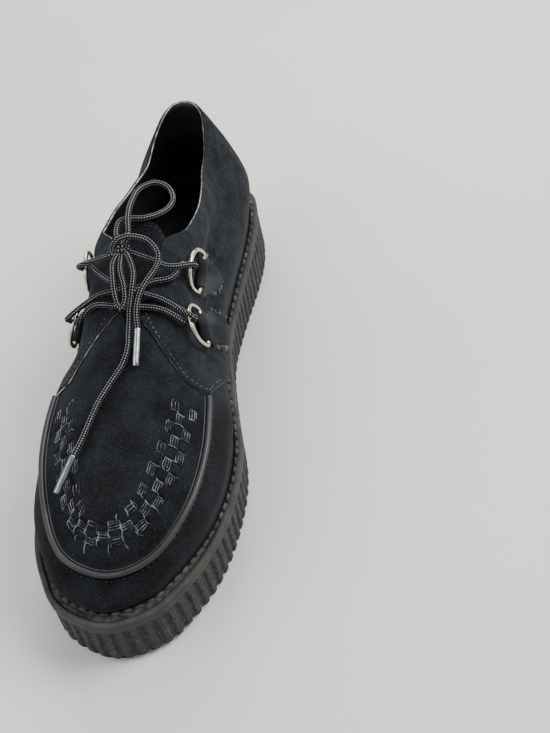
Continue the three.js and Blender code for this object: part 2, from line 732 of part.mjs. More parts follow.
// The wall of the upper between two offsets from its outer surface.
function wallSolid(outside, inside) {
  const ways = upperWays();
  const count = ways.length;
  const last = UPPER_HEIGHTS.length - 1;
  const sheet = (offset) => UPPER_HEIGHTS.map((height) => (
    ways.map((way) => skinOffset(way, height, offset))));
  const outer = sheet(outside);
  const inner = sheet(inside);
  const facets = new Facets();
  for (let row = 0; row < last; row += 1) {
    facets.strip(outer[row], outer[row + 1], true);
    facets.strip(inner[row + 1], inner[row], true);
  }
  facets.strip(inner[0], outer[0], true);
  for (let i = 0; i < count; i += 1) {
    const j = (i + 1) % count;
    const open = Math.max(Math.abs(ways[i]), Math.abs(ways[j])) <= THROAT + 1e-6;
    if (open) facets.quad(outer[last][i], inner[last][i], inner[last][j], outer[last][j]);
  }
  return toSolid(facets.geometry());
}

function upperGeometry() {
  let solid = wallSolid(0, -WALL);
  for (const side of [1, -1]) solid = solid.add(lapSolid(side));
  for (const block of weaveBlocks()) solid = solid.add(block);
  return toGeometry(solid);
}

// What is left of a trim piece once the wall of the upper has its clearance.
function clearOfWall(solid) {
  const wall = wallSolid(1.6 * CLEARANCE, -WALL - 1.6 * CLEARANCE);
  const pieces = solid.subtract(wall).subtract(wall.translate([0, 0, 2 * CLEARANCE])).decompose();
  pieces.sort((a, b) => b.volume() - a.volume());
  return pieces[0];
}

// A closed slab over a grid of points, each with its lower and upper place.
function slab(grid) {
  const facets = new Facets();
  const low = grid.map((row) => row.map((cell) => cell.low));
  const high = grid.map((row) => row.map((cell) => cell.high));
  const rows = grid.length;
  const columns = grid[0].length;
  for (let i = 0; i < rows - 1; i += 1) {
    facets.strip(high[i], high[i + 1]);
    facets.strip(low[i + 1], low[i]);
  }
  facets.strip(low[0], high[0]);
  facets.strip(high[rows - 1], low[rows - 1]);
  const column = (sheet, j) => sheet.map((row) => row[j]);
  facets.strip(column(high, 0), column(low, 0));
  facets.strip(column(low, columns - 1), column(high, columns - 1));
  const across = high[0][1].clone().sub(high[0][0]);
  const along = high[1][0].clone().sub(high[0][0]);
  const rise = high[0][0].clone().sub(low[0][0]);
  if (along.cross(across).dot(rise) < 0) facets.flip();
  return facets.geometry();
}

// Front of one quarter, lapped over the vamp and fading into the wall behind its edge.
function lapSolid(side) {
  const rows = 14;
  const heights = LAP_EDGE.map((row) => ({ key: -row.height, value: row.round }));
  const edge = (height) => interpolate(
    [{ key: -1.1, value: heights[0].value }, ...heights, { key: 0.1, value: heights[9].value }],
    -height,
  );
  const top = LAP_EDGE[0].height;
  const foot = LAP_EDGE[LAP_EDGE.length - 1].height;
  const back = [0, 0.3, 0.65, 1];
  const rise = [LAP_STEP, LAP_STEP, 0.6 * LAP_STEP, -0.3 * WALL];
  const grid = Array.from({ length: rows }, (_, i) => {
    const height = top + (foot - top) * i / (rows - 1);
    return back.map((share, j) => {
      const way = side * (edge(height) - share * LAP_FADE / INNER_RIM.total);
      return { low: skinOffset(way, height, -0.6 * WALL), high: skinOffset(way, height, rise[j]) };
    });
  });
  return toSolid(slab(grid));
}

// Place on the skin, with the directions along the shoe and up the wall there.
function spot(way, height) {
  const step = 0.004;
  const along = skin(way + step, height).sub(skin(way - step, height)).multiplyScalar(0.5 / step);
  const low = Math.max(0, height - step);
  const high = Math.min(1, height + step);
  const up = skin(way, high).sub(skin(way, low)).multiplyScalar(1 / (high - low));
  return { along, up, normal: skinNormal(way, height) };
}

// Walks over the skin from a place, in a direction turned forward from straight up the wall.
function wander(way, height, turn, distance) {
  const steps = 6;
  const side = way >= 0 ? 1 : -1;
  let at = { way, height };
  for (let i = 0; i < steps; i += 1) {
    const { along, up } = spot(at.way, at.height);
    const part = distance / steps;
    at = {
      way: at.way + side * part * Math.sin(turn) / along.length(),
      height: Math.min(1, Math.max(0.01, at.height + part * Math.cos(turn) / up.length())),
    };
  }
  return at;
}

// Woven band round the apron: three staggered rows of raised blocks, fused to the wall.
function weaveBlocks() {
  const outer = evenTable(WEAVE_ROWS, 'outer');
  const middle = evenTable(WEAVE_ROWS, 'middle');
  const inner = evenTable(WEAVE_ROWS, 'inner');
  const path = [];
  const samples = 400;
  for (let i = 0; i <= samples; i += 1) {
    const way = turned(WEAVE_START + (2 - 2 * WEAVE_START) * i / samples);
    path.push({ way, point: skin(way, middle(way)) });
  }
  const total = path.reduce((sum, { point }, i) => sum + (i ? point.distanceTo(path[i - 1].point) : 0), 0);
  const steps = 2 * (2 * Math.round((total / WEAVE_PITCH - 1) / 2) + 1);
  const blocks = [];
  let walked = 0;
  let next = 0;
  let count = 0;
  for (let i = 1; i < path.length; i += 1) {
    walked += path[i].point.distanceTo(path[i - 1].point);
    if (walked < next) continue;
    const rows = count % 2 ? [middle] : [outer, inner];
    for (const row of rows) blocks.push(weaveBlock(path[i].way, row(path[i].way)));
    count += 1;
    next = 0.999 * total * count / steps;
  }
  return blocks;
}

function weaveBlock(way, height) {
  const { along, normal } = spot(way, height);
  const x = along.normalize();
  const y = normal.clone().cross(x).normalize();
  const sunk = 0.4 * WALL;
  const box = new THREE.BoxGeometry(WEAVE_BLOCK, WEAVE_STRIP, WEAVE_RELIEF + sunk);
  const centre = skinOffset(way, height, (WEAVE_RELIEF - sunk) / 2);
  box.applyMatrix4(new THREE.Matrix4().makeBasis(x, y, x.clone().cross(y)).setPosition(centre));
  return toSolid(box);
}

function extrude(curve, diameter, sides, steps) {
  const section = new THREE.Shape();
  section.absarc(0, 0, diameter / 2, 0, 2 * Math.PI);
  return new THREE.ExtrudeGeometry(section, { steps, curveSegments: sides / 2, extrudePath: curve });
}

// A round bar along an open list of points.
function openTube(points, diameter, sides, steps) {
  return extrude(new THREE.CatmullRomCurve3(points, false, 'centripetal'), diameter, sides, steps);
}

// Piping: the raised cord round the apron

function pipingGeometry() {
  const count = 42;
  const points = [];
  for (let i = 0; i <= count; i += 1) {
    const way = PIPING_START + (2 - 2 * PIPING_START) * i / count;
    points.push(skinOffset(way > 1 ? way - 2 : way, 0.5, PIPING / 2 + CLEARANCE));
  }
  return openTube(points, PIPING, WIRE_SIDES, count);
}

// Tongue: a curved sheet that closes the throat from below and stands above the facings

function tongueGeometry() {
  const under = -(WALL + 2 * CLEARANCE);
  const ways = [0.612, 0.59, THROAT, 0.545, 0.52, 0.495, 0.47, 0.453];
  const shares = [-1, -0.66, -0.33, 0, 0.33, 0.66, 1];
  const rows = ways.map((way) => {
    const edge = (side, height) => skinOffset(side * way, height, under);
    const [a, b] = [edge(1, 1), edge(-1, 1)];
    const gap = a.distanceTo(b);
    const centre = a.clone().lerp(b, 0.5);
    centre.z += 0.1 * gap;
    const [outA, outB] = [edge(1, 1 - TONGUE_LAP), edge(-1, 1 - TONGUE_LAP)];
    const curve = new THREE.CatmullRomCurve3([outB, b, centre, a, outA], false, 'centripetal');
    if (gap < 1) return shares.map((share) => (
      share === 0 ? centre : edge(Math.sign(share), 1 - TONGUE_LAP * Math.abs(share))));
    return shares.map((share) => curve.getPoint((share + 1) / 2));
  });
  const last = rows[rows.length - 1];
  const lift = new THREE.Vector3(-0.8, 0, 0.6).multiplyScalar(TONGUE_RISE);
  for (const share of [0.5, 1]) {
    rows.push(last.map((point, j) => {
      const round = share === 1 ? 1 - 0.3 * Math.abs(shares[j]) ** 3 : 1;
      const moved = point.clone().addScaledVector(lift, share * round);
      moved.y -= (0.12 + 0.06 * share) * (moved.y - last[3].y);
      moved.z += 1.5 * Math.abs(shares[j]) ** 3;
      return moved;
    }));
  }
  const grid = rows.map((row, i) => row.map((point, j) => {
    const before = rows[Math.max(0, i - 1)][j];
    const after = rows[Math.min(rows.length - 1, i + 1)][j];
    const left = row[Math.max(0, j - 1)];
    const right = row[Math.min(row.length - 1, j + 1)];
    const normal = after.clone().sub(before).cross(right.clone().sub(left)).normalize();
    if (normal.z < 0) normal.negate();
    return { low: point.clone().addScaledVector(normal, -TONGUE), high: point };
  }));
  return toGeometry(clearOfWall(toSolid(slab(grid))));
}

// Lace rings and the leather tabs that hold them

const RING_LIFT = CLEARANCE + TAB_SKIN + RING_WIRE / 2 + CLEARANCE;
const LACE_BEND = RING_WIRE / 2 + CLEARANCE + LACE / 2;

// Place and directions of one ring: its straight bar, the way it points and its top side.
function ringFrame(row, side) {
  const way = side * row.round;
  const bar = skinOffset(way, row.height, RING_LIFT);
  const tip = wander(way, row.height, row.lean, RING_DEPTH - RING_WIRE);
  const far = skinOffset(tip.way, tip.height, LACE_BEND + LACE / 2 + 1.5 * CLEARANCE);
  const out = far.clone().sub(bar).normalize();
  const beside = (reach) => {
    const place = wander(way, row.height, row.lean + Math.PI / 2, reach);
    return skinOffset(place.way, place.height, RING_LIFT);
  };
  const across = beside(RING_WIDTH / 2).sub(beside(-RING_WIDTH / 2));
  across.addScaledVector(out, -across.dot(out)).normalize();
  const top = out.clone().cross(across).normalize();
  if (top.dot(skinNormal(way, row.height)) < 0) top.negate();
  return { bar, out, across, top, tip: bar.clone().addScaledVector(out, RING_DEPTH - RING_WIRE) };
}

function ringGeometry(row, side) {
  const { bar, out, across } = ringFrame(row, side);
  const reach = (RING_WIDTH - RING_WIRE) / 2;
  const leg = RING_DEPTH - RING_WIRE - reach;
  const place = (x, y) => bar.clone().addScaledVector(across, x).addScaledVector(out, y);
  const corner = RING_CORNER;
  const points = [place(0, 0), place(reach - 1.6 * corner, 0), place(reach - 0.3 * corner, 0.3 * corner)];
  points.push(place(reach, 1.5 * corner));
  for (let i = 0; i <= 8; i += 1) {
    const angle = Math.PI * i / 8;
    points.push(place(reach * Math.cos(angle), leg + reach * Math.sin(angle)));
  }
  points.push(place(-reach, 1.5 * corner), place(0.3 * corner - reach, 0.3 * corner));
  points.push(place(1.6 * corner - reach, 0));
  return closedTube(points, RING_WIRE / 2, WIRE_SIDES, 22);
}

function rod(from, to, radius, sides) {
  const geometry = new THREE.CylinderGeometry(radius, radius, from.distanceTo(to), sides);
  const turn = new THREE.Quaternion().setFromUnitVectors(
    new THREE.Vector3(0, 1, 0),
    to.clone().sub(from).normalize(),
  );
  geometry.applyMatrix4(new THREE.Matrix4().compose(
    from.clone().lerp(to, 0.5),
    turn,
    new THREE.Vector3(1, 1, 1),
  ));
  return geometry;
}

function tabGeometry(row, side) {
  const { bar, across } = ringFrame(row, side);
  const rows = 7;
  const columns = [-1, 0, 1];
  const grid = Array.from({ length: rows }, (_, i) => {
    const share = i / (rows - 1);
    const spine = wander(side * row.round, row.height, row.lean + Math.PI, share * TAB_LENGTH);
    const end = share > 0.6 ? Math.sqrt(Math.max(0.12, 1 - ((share - 0.6) / 0.4) ** 2)) : 1;
    const width = TAB_NECK + (TAB_WIDTH - TAB_NECK) * smooth(0.05, 0.3, share);
    return columns.map((column) => {
      const reach = side * column * end * width / 2;
      const at = wander(spine.way, spine.height, row.lean + Math.PI / 2, side * reach);
      return {
        low: skinOffset(at.way, at.height, -0.3 * WALL),
        high: skinOffset(at.way, at.height, CLEARANCE + TAB_THICKNESS),
      };
    });
  });
  const end = (reach) => bar.clone().addScaledVector(across, reach);
  const roll = rod(end(-TAB_NECK / 2), end(TAB_NECK / 2), RING_WIRE / 2 + CLEARANCE + TAB_SKIN, 12);
  const bore = rod(end(-RING_WIDTH), end(RING_WIDTH), 1.06 * (RING_WIRE / 2 + CLEARANCE), 10);
  const leather = toSolid(slab(grid)).add(toSolid(roll)).subtract(toSolid(bore));
  return toGeometry(clearOfWall(leather));
}

// A place above the top of the shoe. Across runs from -1 at the outer facing to 1 at the inner
// one, and beyond them down the walls.
function deckBase(way, across) {
  const reach = Math.abs(across);
  if (reach > 1) return skin(Math.sign(across) * way, Math.max(0.3, 1 - 0.5 * (reach - 1)));
  const inner = skin(way, 1);
  const outer = skin(-way, 1);
  const gap = inner.distanceTo(outer);
  const point = outer.lerp(inner, (across + 1) / 2);
  point.z += DECK_CROWN * gap * (1 - across * across);
  return point;
}

function deck(way, across, lift) {
  const along = deckBase(way + 0.01, across).sub(deckBase(way - 0.01, across));
  const over = deckBase(way, across + 0.12).sub(deckBase(way, across - 0.12));
  const normal = along.cross(over).normalize();
  return deckBase(way, across).addScaledVector(normal, lift);
}

const deckPoint = (row) => deck(row.round, row.across, row.lift * LACE);
const deckPoints = (rows) => rows.map(deckPoint);

function laceTube(points) {
  const curve = new THREE.CatmullRomCurve3(points, false, 'centripetal');
  return openTube(points, LACE, CORD_SIDES, Math.ceil(curve.getLength() / LACE_STEP));
}

// Lace: one run from the knot through all four rings and back to the knot

// The lace over the wire of a ring and back underneath it.
function ringTurn(row, side) {
  const { tip, out, top } = ringFrame(row, side);
  const place = (forward, up) => (
    tip.clone().addScaledVector(out, forward).addScaledVector(top, up));
  return [
    place(LACE, LACE_BEND),
    place(-0.2 * LACE, 0.97 * LACE_BEND),
    place(-1.05 * LACE_BEND, 0),
    place(-0.2 * LACE, -0.97 * LACE_BEND),
    place(LACE, -LACE_BEND),
  ];
}

function crossingsGeometry() {
  const [upper, lower] = RINGS;
  const knot = deckPoint(KNOT);
  const points = [
    knot,
    ...deckPoints(KNOT_TO_INNER),
    ...ringTurn(upper, 1),
    ...deckPoints(CROSS_UNDER),
    ...ringTurn(lower, -1),
    ...deckPoints(BAR),
    ...ringTurn(lower, 1).reverse(),
    ...deckPoints(CROSS_OVER).reverse(),
    ...ringTurn(upper, -1).reverse(),
    ...deckPoints(KNOT_TO_OUTER).reverse(),
    knot,
  ];
  // Steps follow the points, which lie closer together where the lace turns.
  const curve = new THREE.CatmullRomCurve3(points, false, 'centripetal');
  curve.getUtoTmapping = (share) => share;
  return clearOfKnot(toSolid(extrude(curve, LACE, CORD_SIDES, 2 * (points.length - 1))));
}

function knotBody(scale) {
  const ball = new THREE.SphereGeometry(KNOT_SIZE * scale, 12, 8);
  ball.scale(0.75, 1, 0.62);
  const centre = deckPoint(KNOT);
  ball.translate(centre.x, centre.y, centre.z);
  return toSolid(ball);
}

// What is left of a cord once the knot has its clearance.
function clearOfKnot(solid) {
  const pieces = solid.subtract(knotBody(1 + CLEARANCE / LACE)).decompose();
  pieces.sort((a, b) => b.volume() - a.volume());
  return toGeometry(pieces[0]);
}

const cordGeometry = (points) => clearOfKnot(toSolid(laceTube(points)));

// Aglet: the metal tip of the lace
function agletGeometry(rows, end) {
  const last = deckPoint(rows[rows.length - 1]);
  const direction = deckPoint(end).sub(last).normalize();
  const start = last.clone().addScaledVector(direction, 2 * CLEARANCE);
  return rod(start, start.clone().addScaledVector(direction, AGLET_LENGTH), AGLET / 2, CORD_SIDES);
}

function mesh(name, geometry, colour, roughness, metalness = 0) {
  const material = new THREE.MeshStandardMaterial({ color: colour, roughness, metalness });
  const piece = new THREE.Mesh(geometry, material);
  piece.name = name;
  return piece;
}

const shoe = new THREE.Group();

shoe.add(mesh('outsole', outsoleGeometry(), 0x504e4a, 0.8));
shoe.add(mesh('welt', weltGeometry(), 0x45433f, 0.85));
shoe.add(mesh('insole', insoleGeometry(), 0x141414, 0.7));
shoe.add(mesh('upper', upperGeometry(), 0x1f2023, 0.95));
shoe.add(mesh('piping', pipingGeometry(), 0x2c2c2e, 0.45));
shoe.add(mesh('tongue', tongueGeometry(), 0x1f2023, 0.95));
for (const [side, label] of [[1, 'inner'], [-1, 'outer']]) {
  for (const row of RINGS) {
    shoe.add(mesh(`ring_${label}_${row.name}`, ringGeometry(row, side), 0xc8c4b0, 0.3, 1));
    shoe.add(mesh(`tab_${label}_${row.name}`, tabGeometry(row, side), 0x1f2023, 0.95));
  }
}

shoe.add(mesh('lace_crossings', crossingsGeometry(), 0x1a1a1c, 0.8));

// The origin lies under the middle of the shoe, on the floor.
const middle = new THREE.Box3().setFromObject(shoe).getCenter(new THREE.Vector3());
shoe.position.set(-middle.x, -middle.y, 0);

// Free cords: the knot, its bow and the two ends with their metal tips
const knot = deckPoint(KNOT);
shoe.add(mesh('lace_knot', toGeometry(knotBody(1)), 0x1a1a1c, 0.8));
shoe.add(mesh('lace_loop_up', cordGeometry([knot, ...deckPoints(LOOP_UP), knot]), 0x1a1a1c, 0.8));
shoe.add(mesh('lace_loop_down', cordGeometry([knot, ...deckPoints(LOOP_DOWN), knot]), 0x1a1a1c, 0.8));
shoe.add(mesh('lace_end_short', cordGeometry([knot, ...deckPoints(END_SHORT)]), 0x1a1a1c, 0.8));
shoe.add(mesh('lace_end_long', cordGeometry([knot, ...deckPoints(END_LONG)]), 0x1a1a1c, 0.8));
shoe.add(mesh('aglet_short', agletGeometry(END_SHORT, AGLET_SHORT), 0x9a9a9a, 0.35, 1));
shoe.add(mesh('aglet_long', agletGeometry(END_LONG, AGLET_LONG), 0x9a9a9a, 0.35, 1));

export default shoe;
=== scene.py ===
"""A black suede creeper shoe, right foot, standing on its ribbed rubber sole.

Sizes in the tables are millimetres on the last: x from the heel seam, y to the inner side
of the foot, z up from the floor. Meshes are placed in metres in the row's frame.
"""

import math

import bmesh
import bpy
import numpy as np
from mathutils import Matrix, Vector


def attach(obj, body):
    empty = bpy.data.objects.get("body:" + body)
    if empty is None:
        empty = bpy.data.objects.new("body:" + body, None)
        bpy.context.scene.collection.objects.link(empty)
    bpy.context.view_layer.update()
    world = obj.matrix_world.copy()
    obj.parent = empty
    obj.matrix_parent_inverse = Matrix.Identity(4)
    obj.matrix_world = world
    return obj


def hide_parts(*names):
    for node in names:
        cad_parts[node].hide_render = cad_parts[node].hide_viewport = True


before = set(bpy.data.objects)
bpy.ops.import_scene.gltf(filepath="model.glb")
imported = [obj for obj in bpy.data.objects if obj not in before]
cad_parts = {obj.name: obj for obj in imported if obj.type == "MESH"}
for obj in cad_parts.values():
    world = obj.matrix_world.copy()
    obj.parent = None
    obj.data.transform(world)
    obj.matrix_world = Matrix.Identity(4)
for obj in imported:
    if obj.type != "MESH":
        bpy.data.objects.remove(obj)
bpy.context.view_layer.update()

MM = 0.001
ORIGIN = np.array([150.2853, 0.9797, 0.0])

# Camera: the photograph's view, from above the toe and a little to the inner side. The
# sensor's long side is in millimetres, and stands for the picture's height in pixels.
CAMERA_PLACE = (517.9, 176.9, 459.9)
CAMERA_RIGHT = (-0.12701, 0.97961, -0.15566)
CAMERA_DOWN = (0.75551, -0.00614, -0.65511)
CAMERA_AHEAD = (-0.64271, -0.20081, -0.73933)
PICTURE_HEIGHT = 733
FOCUS_IN_PIXELS = 1100
SENSOR = 36

# Sole
LENGTH = 300.0
BALL_WIDTH = 100.0
WAIST_WIDTH = 70.0
HEEL_WIDTH = 73.0
HEEL_THICKNESS = 37.0
FOREPART_THICKNESS = 30.0
TOE_SPRING = 2.5
ARCH_LIFT = 1.5
RIM_BAND = 5.5
RIM_LIP = 3.0
WELT_RECESS = 2.0
WELT_THICKNESS = 1.7
WELT_GAP = 0.8
RIB_PITCH = 6.5
RIB_DEPTH = 1.6
RIB_SETBACK = 0.5
# Columns of points to a rib and rows up the side. A groove reaches 0.2 of a pitch to each
# side, and closes in an arch at its top. The share is of the rib's depth.
RIB_STEPS = 12
SIDE_ROWS = 13
GROOVE_HALF = 0.20
GROOVE_ARCH = 0.86
GROOVE_SHARE = 0.78
# How far the floor of the welt's recess runs inwards.
RECESS_REACH = 14.0
# Rim band above the ribs: inset from the edge, drop from the top.
RIM_PROFILE = [(0.0, 1.0), (0.3, 0.3), (1.0, 0.0), (2.2, 0.0), (2.9, 0.25), (RIM_LIP, 1.0)]

# Upper
WALL = 2.0
BACK_HEIGHT = 69.0
INSTEP_HEIGHT = 68.0
CREASE_HEIGHT = 33.0
COLLAR_WIDTH = 50.0
FACING_GAP = 29.0
LEDGE = 5.0
TOE_LEDGE = 8.5
CREASE_INSET = 6.5
BULGE = 3.5
THROAT = 0.57
POLE = 0.87
EASE_FROM = 0.72
EASE_TO = 0.92
EASE_STEP = 0.03
# Half the span of way or height over which a slope is taken, and the steps of a walk.
NUDGE = 0.004
WALK_STEPS = 6

# Trim
CLEARANCE = 0.3
PIPING = 2.8
PIPING_START = 0.627
INSOLE = 3.0
TONGUE = 2.2
TONGUE_RISE = 13.0
TONGUE_LAP = 0.12
LAP_STEP = 1.3
LAP_FADE = 26.0
WEAVE_PITCH = 11.4
WEAVE_START = 0.669
RING_WIDTH = 23.0
RING_DEPTH = 19.5
RING_WIRE = 2.2
RING_CORNER = 2.0
TAB_NECK = 14.5
TAB_WIDTH = 19.0
TAB_LENGTH = 32.0
TAB_THICKNESS = 2.3
TAB_SKIN = 1.3
LACE = 2.8
KNOT_SIZE = 5.4
AGLET_LENGTH = 18.0
AGLET = 3.4
DECK_CROWN = 0.12

# Rim of the sole: share of the length, the width the row is a share of, inner and outer half.
OUTLINE = [
    (0.03, HEEL_WIDTH, 0.78, 0.68),
    (0.10, HEEL_WIDTH, 0.97, 0.95),
    (0.18, HEEL_WIDTH, 0.99, 1.01),
    (0.30, WAIST_WIDTH, 0.965, 1.035),
    (0.42, WAIST_WIDTH, 0.955, 1.05),
    (0.54, BALL_WIDTH, 0.822, 0.852),
    (0.66, BALL_WIDTH, 1.01, 0.976),
    (0.76, BALL_WIDTH, 1.016, 0.98),
    (0.85, BALL_WIDTH, 0.908, 0.888),
    (0.92, BALL_WIDTH, 0.714, 0.698),
    (0.97, BALL_WIDTH, 0.48, 0.472),
]
TIP_SHIFT = 1.5

# Sole heights: share of the length, top of the rim, lift of the bottom.
SOLE_HEIGHTS = [
    (0, HEEL_THICKNESS, 1.2),
    (0.05, HEEL_THICKNESS, 0),
    (0.22, 0.5 * (HEEL_THICKNESS + FOREPART_THICKNESS), 0),
    (0.40, FOREPART_THICKNESS, ARCH_LIFT),
    (0.52, FOREPART_THICKNESS, 0),
    (0.80, FOREPART_THICKNESS, 0),
    (1, FOREPART_THICKNESS + 0.6 * TOE_SPRING, TOE_SPRING),
]

# Edge of the sole: way round, ledge between rim and upper, outward slope of the side.
EDGE_OF_SOLE = [
    (0, LEDGE, 1),
    (0.15, LEDGE, 0),
    (0.40, 0.9 * LEDGE, -1.5),
    (0.70, 0.95 * LEDGE, -1),
    (0.85, 0.5 * (LEDGE + TOE_LEDGE), 0.6),
    (1, TOE_LEDGE, 1.6),
]

# Lower wall: way round, fullness, its height, crease inset inner and outer, crease height.
SIDE = [
    (0, BULGE, 0.60, 0.1, 0.1, 1.27),
    (0.10, BULGE, 0.60, 0.3, 0.3, 1.27),
    (0.18, 0.9 * BULGE, 0.62, 0.7, 0.6, 1.22),
    (0.29, BULGE, 0.66, 0.8, 0.55, 1.20),
    (0.40, 1.15 * BULGE, 0.70, 0.8, 0.4, 1.20),
    (0.50, 0.9 * BULGE, 0.64, 0.85, 0.55, 1.18),
    (0.57, 0.65 * BULGE, 0.58, 0.9, 0.75, 1.13),
    (0.64, 0.5 * BULGE, 0.52, 0.92, 0.88, 1.06),
    (0.72, 0.45 * BULGE, 0.46, 0.68, 1.1, 0.97),
    (0.80, 0.45 * BULGE, 0.40, 0.38, 1.25, 0.84),
    (0.88, 0.45 * BULGE, 0.32, 0.27, 0.97, 0.67),
    (0.94, 0.5 * BULGE, 0.27, 0.6, 1.15, 0.61),
    (1, 0.5 * BULGE, 0.25, 1.45, 1.45, 0.55),
]

# Top line: way round, share of the length, width, half share, middle, height.
TOP = [
    (0, 0.025, COLLAR_WIDTH, 0, 1.2, BACK_HEIGHT),
    (0.05, 0.028, COLLAR_WIDTH, 0.25, 1, 0.985 * BACK_HEIGHT),
    (0.10, 0.045, COLLAR_WIDTH, 0.46, 0.5, 0.94 * BACK_HEIGHT),
    (0.16, 0.085, COLLAR_WIDTH, 0.60, -0.6, 0.85 * BACK_HEIGHT),
    (0.22, 0.145, COLLAR_WIDTH, 0.69, -1.8, 0.74 * BACK_HEIGHT),
    (0.29, 0.22, COLLAR_WIDTH, 0.86, -1.8, 0.78 * INSTEP_HEIGHT),
    (0.36, 0.30, COLLAR_WIDTH, 0.97, -1.8, 0.85 * INSTEP_HEIGHT),
    (0.41, 0.365, COLLAR_WIDTH, 0.94, -2, 0.925 * INSTEP_HEIGHT),
    (0.44, 0.41, FACING_GAP, 1, -1, INSTEP_HEIGHT),
    (0.48, 0.46, FACING_GAP, 0.8, -1.5, 0.935 * INSTEP_HEIGHT),
    (0.53, 0.515, FACING_GAP, 0.5, -1.8, 0.845 * INSTEP_HEIGHT),
    (THROAT, 0.56, FACING_GAP, 0, -2, 0.775 * INSTEP_HEIGHT),
    (0.64, 0.625, FACING_GAP, 0, -2, 0.675 * INSTEP_HEIGHT),
    (0.70, 0.685, FACING_GAP, 0, -1.4, 0.595 * INSTEP_HEIGHT),
    (0.76, 0.74, FACING_GAP, 0, -0.6, 0.53 * INSTEP_HEIGHT),
    (0.82, 0.785, FACING_GAP, 0, 0.3, 0.475 * INSTEP_HEIGHT),
    (POLE, 0.80, FACING_GAP, 0, 0.6, 0.455 * INSTEP_HEIGHT),
    (1, 0.80, FACING_GAP, 0, 0.6, 0.455 * INSTEP_HEIGHT),
]

# Swell of the top panel: way round, outwards, upwards.
SWELL = [
    (0, 0.5, 0),
    (0.30, 1.5, 0.05),
    (0.40, 3.5, 0.12),
    (0.48, 4, 0.18),
    (0.57, 1.5, 0.26),
    (0.66, 0, 0.26),
    (1, 0, 0.26),
]

# Front edge of the quarters: height on the wall, way round.
LAP_EDGE = [
    (0.985, 0.551),
    (0.93, 0.555),
    (0.81, 0.576),
    (0.70, 0.603),
    (0.60, 0.620),
    (0.51, 0.617),
    (0.425, 0.594),
    (0.29, 0.560),
    (0.15, 0.530),
    (0.03, 0.508),
]

# Woven band: way round, heights of its outer, middle and inner rows.
WEAVE_ROWS = [
    (0, 0.572, 0.632, 0.668),
    (0.66, 0.572, 0.632, 0.668),
    (0.70, 0.597, 0.645, 0.686),
    (0.75, 0.612, 0.662, 0.718),
    (0.80, 0.632, 0.677, 0.745),
    (0.85, 0.641, 0.682, 0.749),
    (0.90, 0.642, 0.680, 0.736),
    (1, 0.632, 0.661, 0.690),
]

# Rings: name, way round, height, lean forward.
RINGS = [("upper", 0.424, 0.64, 0.8), ("lower", 0.498, 0.515, 0.62)]

# Lace places over the top: way round, across from facing to facing, lift in lace diameters.
KNOT = (0.470, -0.18, 2.9)
KNOT_TO_INNER = [
    (0.476, 0.30, 2.6), (0.480, 0.85, 2.65), (0.479, 1.16, 2.5),
]
KNOT_TO_OUTER = [(0.474, -0.60, 2.6), (0.471, -1.05, 2.4)]
CROSS_UNDER = [
    (0.489, 1.27, 1.5), (0.505, 1.04, 1.3), (0.520, 0.45, 1.2), (0.522, -0.20, 1.1),
    (0.522, -0.90, 1.3), (0.520, -1.22, 1.3),
]
CROSS_OVER = [
    (0.491, -1.10, 1.5), (0.512, -0.60, 2.4), (0.523, 0.20, 2.4),
    (0.526, 0.85, 1.7), (0.525, 1.25, 1.3),
]
BAR = [
    (0.533, -1.29, 1.4), (0.543, -1.02, 1.4), (0.546, 0.30, 1.2),
    (0.544, 1.06, 1.4), (0.538, 1.33, 1.4),
]
LOOP_UP = [
    (0.455, -0.02, 3.6), (0.439, -0.09, 4.1), (0.418, -0.09, 4.4), (0.377, -0.07, 4.4),
    (0.360, 0.13, 4.3), (0.364, 0.36, 3.9), (0.384, 0.53, 3.3), (0.405, 0.54, 2.8),
    (0.421, 0.44, 2.5), (0.430, 0.19, 2.4), (0.431, -0.10, 2.5), (0.436, -0.36, 3.0),
    (0.450, -0.42, 3.1),
]
LOOP_DOWN = [
    (0.491, -0.38, 3.8), (0.514, -0.36, 3.9), (0.533, -0.33, 3.5), (0.547, -0.24, 3.0),
    (0.552, 0.04, 2.9), (0.541, 0.21, 3.3), (0.523, 0.07, 3.8), (0.502, -0.10, 4.0),
]
END_SHORT = [
    (0.480, -0.44, 3.7), (0.472, -0.42, 4.4), (0.464, -0.20, 5.0), (0.461, 0.06, 5.2),
    (0.461, 0.34, 5.2), (0.463, 0.61, 5.0), (0.470, 0.85, 4.8), (0.480, 0.95, 4.6),
    (0.493, 1.01, 4.4), (0.513, 0.88, 4.2), (0.531, 0.80, 3.9), (0.554, 1.13, 3.1),
    (0.578, 1.19, 1.8),
]
AGLET_SHORT = (0.620, 1.20, 1.1)
END_LONG = [
    (0.485, 0.12, 3.9), (0.506, 0.36, 4.0), (0.527, 0.44, 4.0), (0.551, 0.68, 2.7),
    (0.580, 1.09, 1.65), (0.614, 1.09, 1.15), (0.643, 1.04, 0.9), (0.669, -1.08, 0.9),
    (0.696, -1.21, 0.9), (0.721, -1.29, 0.9), (0.750, -1.38, 1.07), (0.774, -1.48, 1.36),
]
AGLET_LONG = (0.812, -1.71, 1.4)
# Aglet: place along it from the lace's end, share of its radius. It is pinched in the middle.
AGLET_PROFILE = [
    (-1.0, 0.86), (-0.6, 1.0), (0.0, 1.0), (4, 0.97), (9, 1.0), (AGLET_LENGTH - 2, 1.0),
    (AGLET_LENGTH - 0.4, 0.97), (AGLET_LENGTH, 0.8),
]


# ---- Curves through table rows

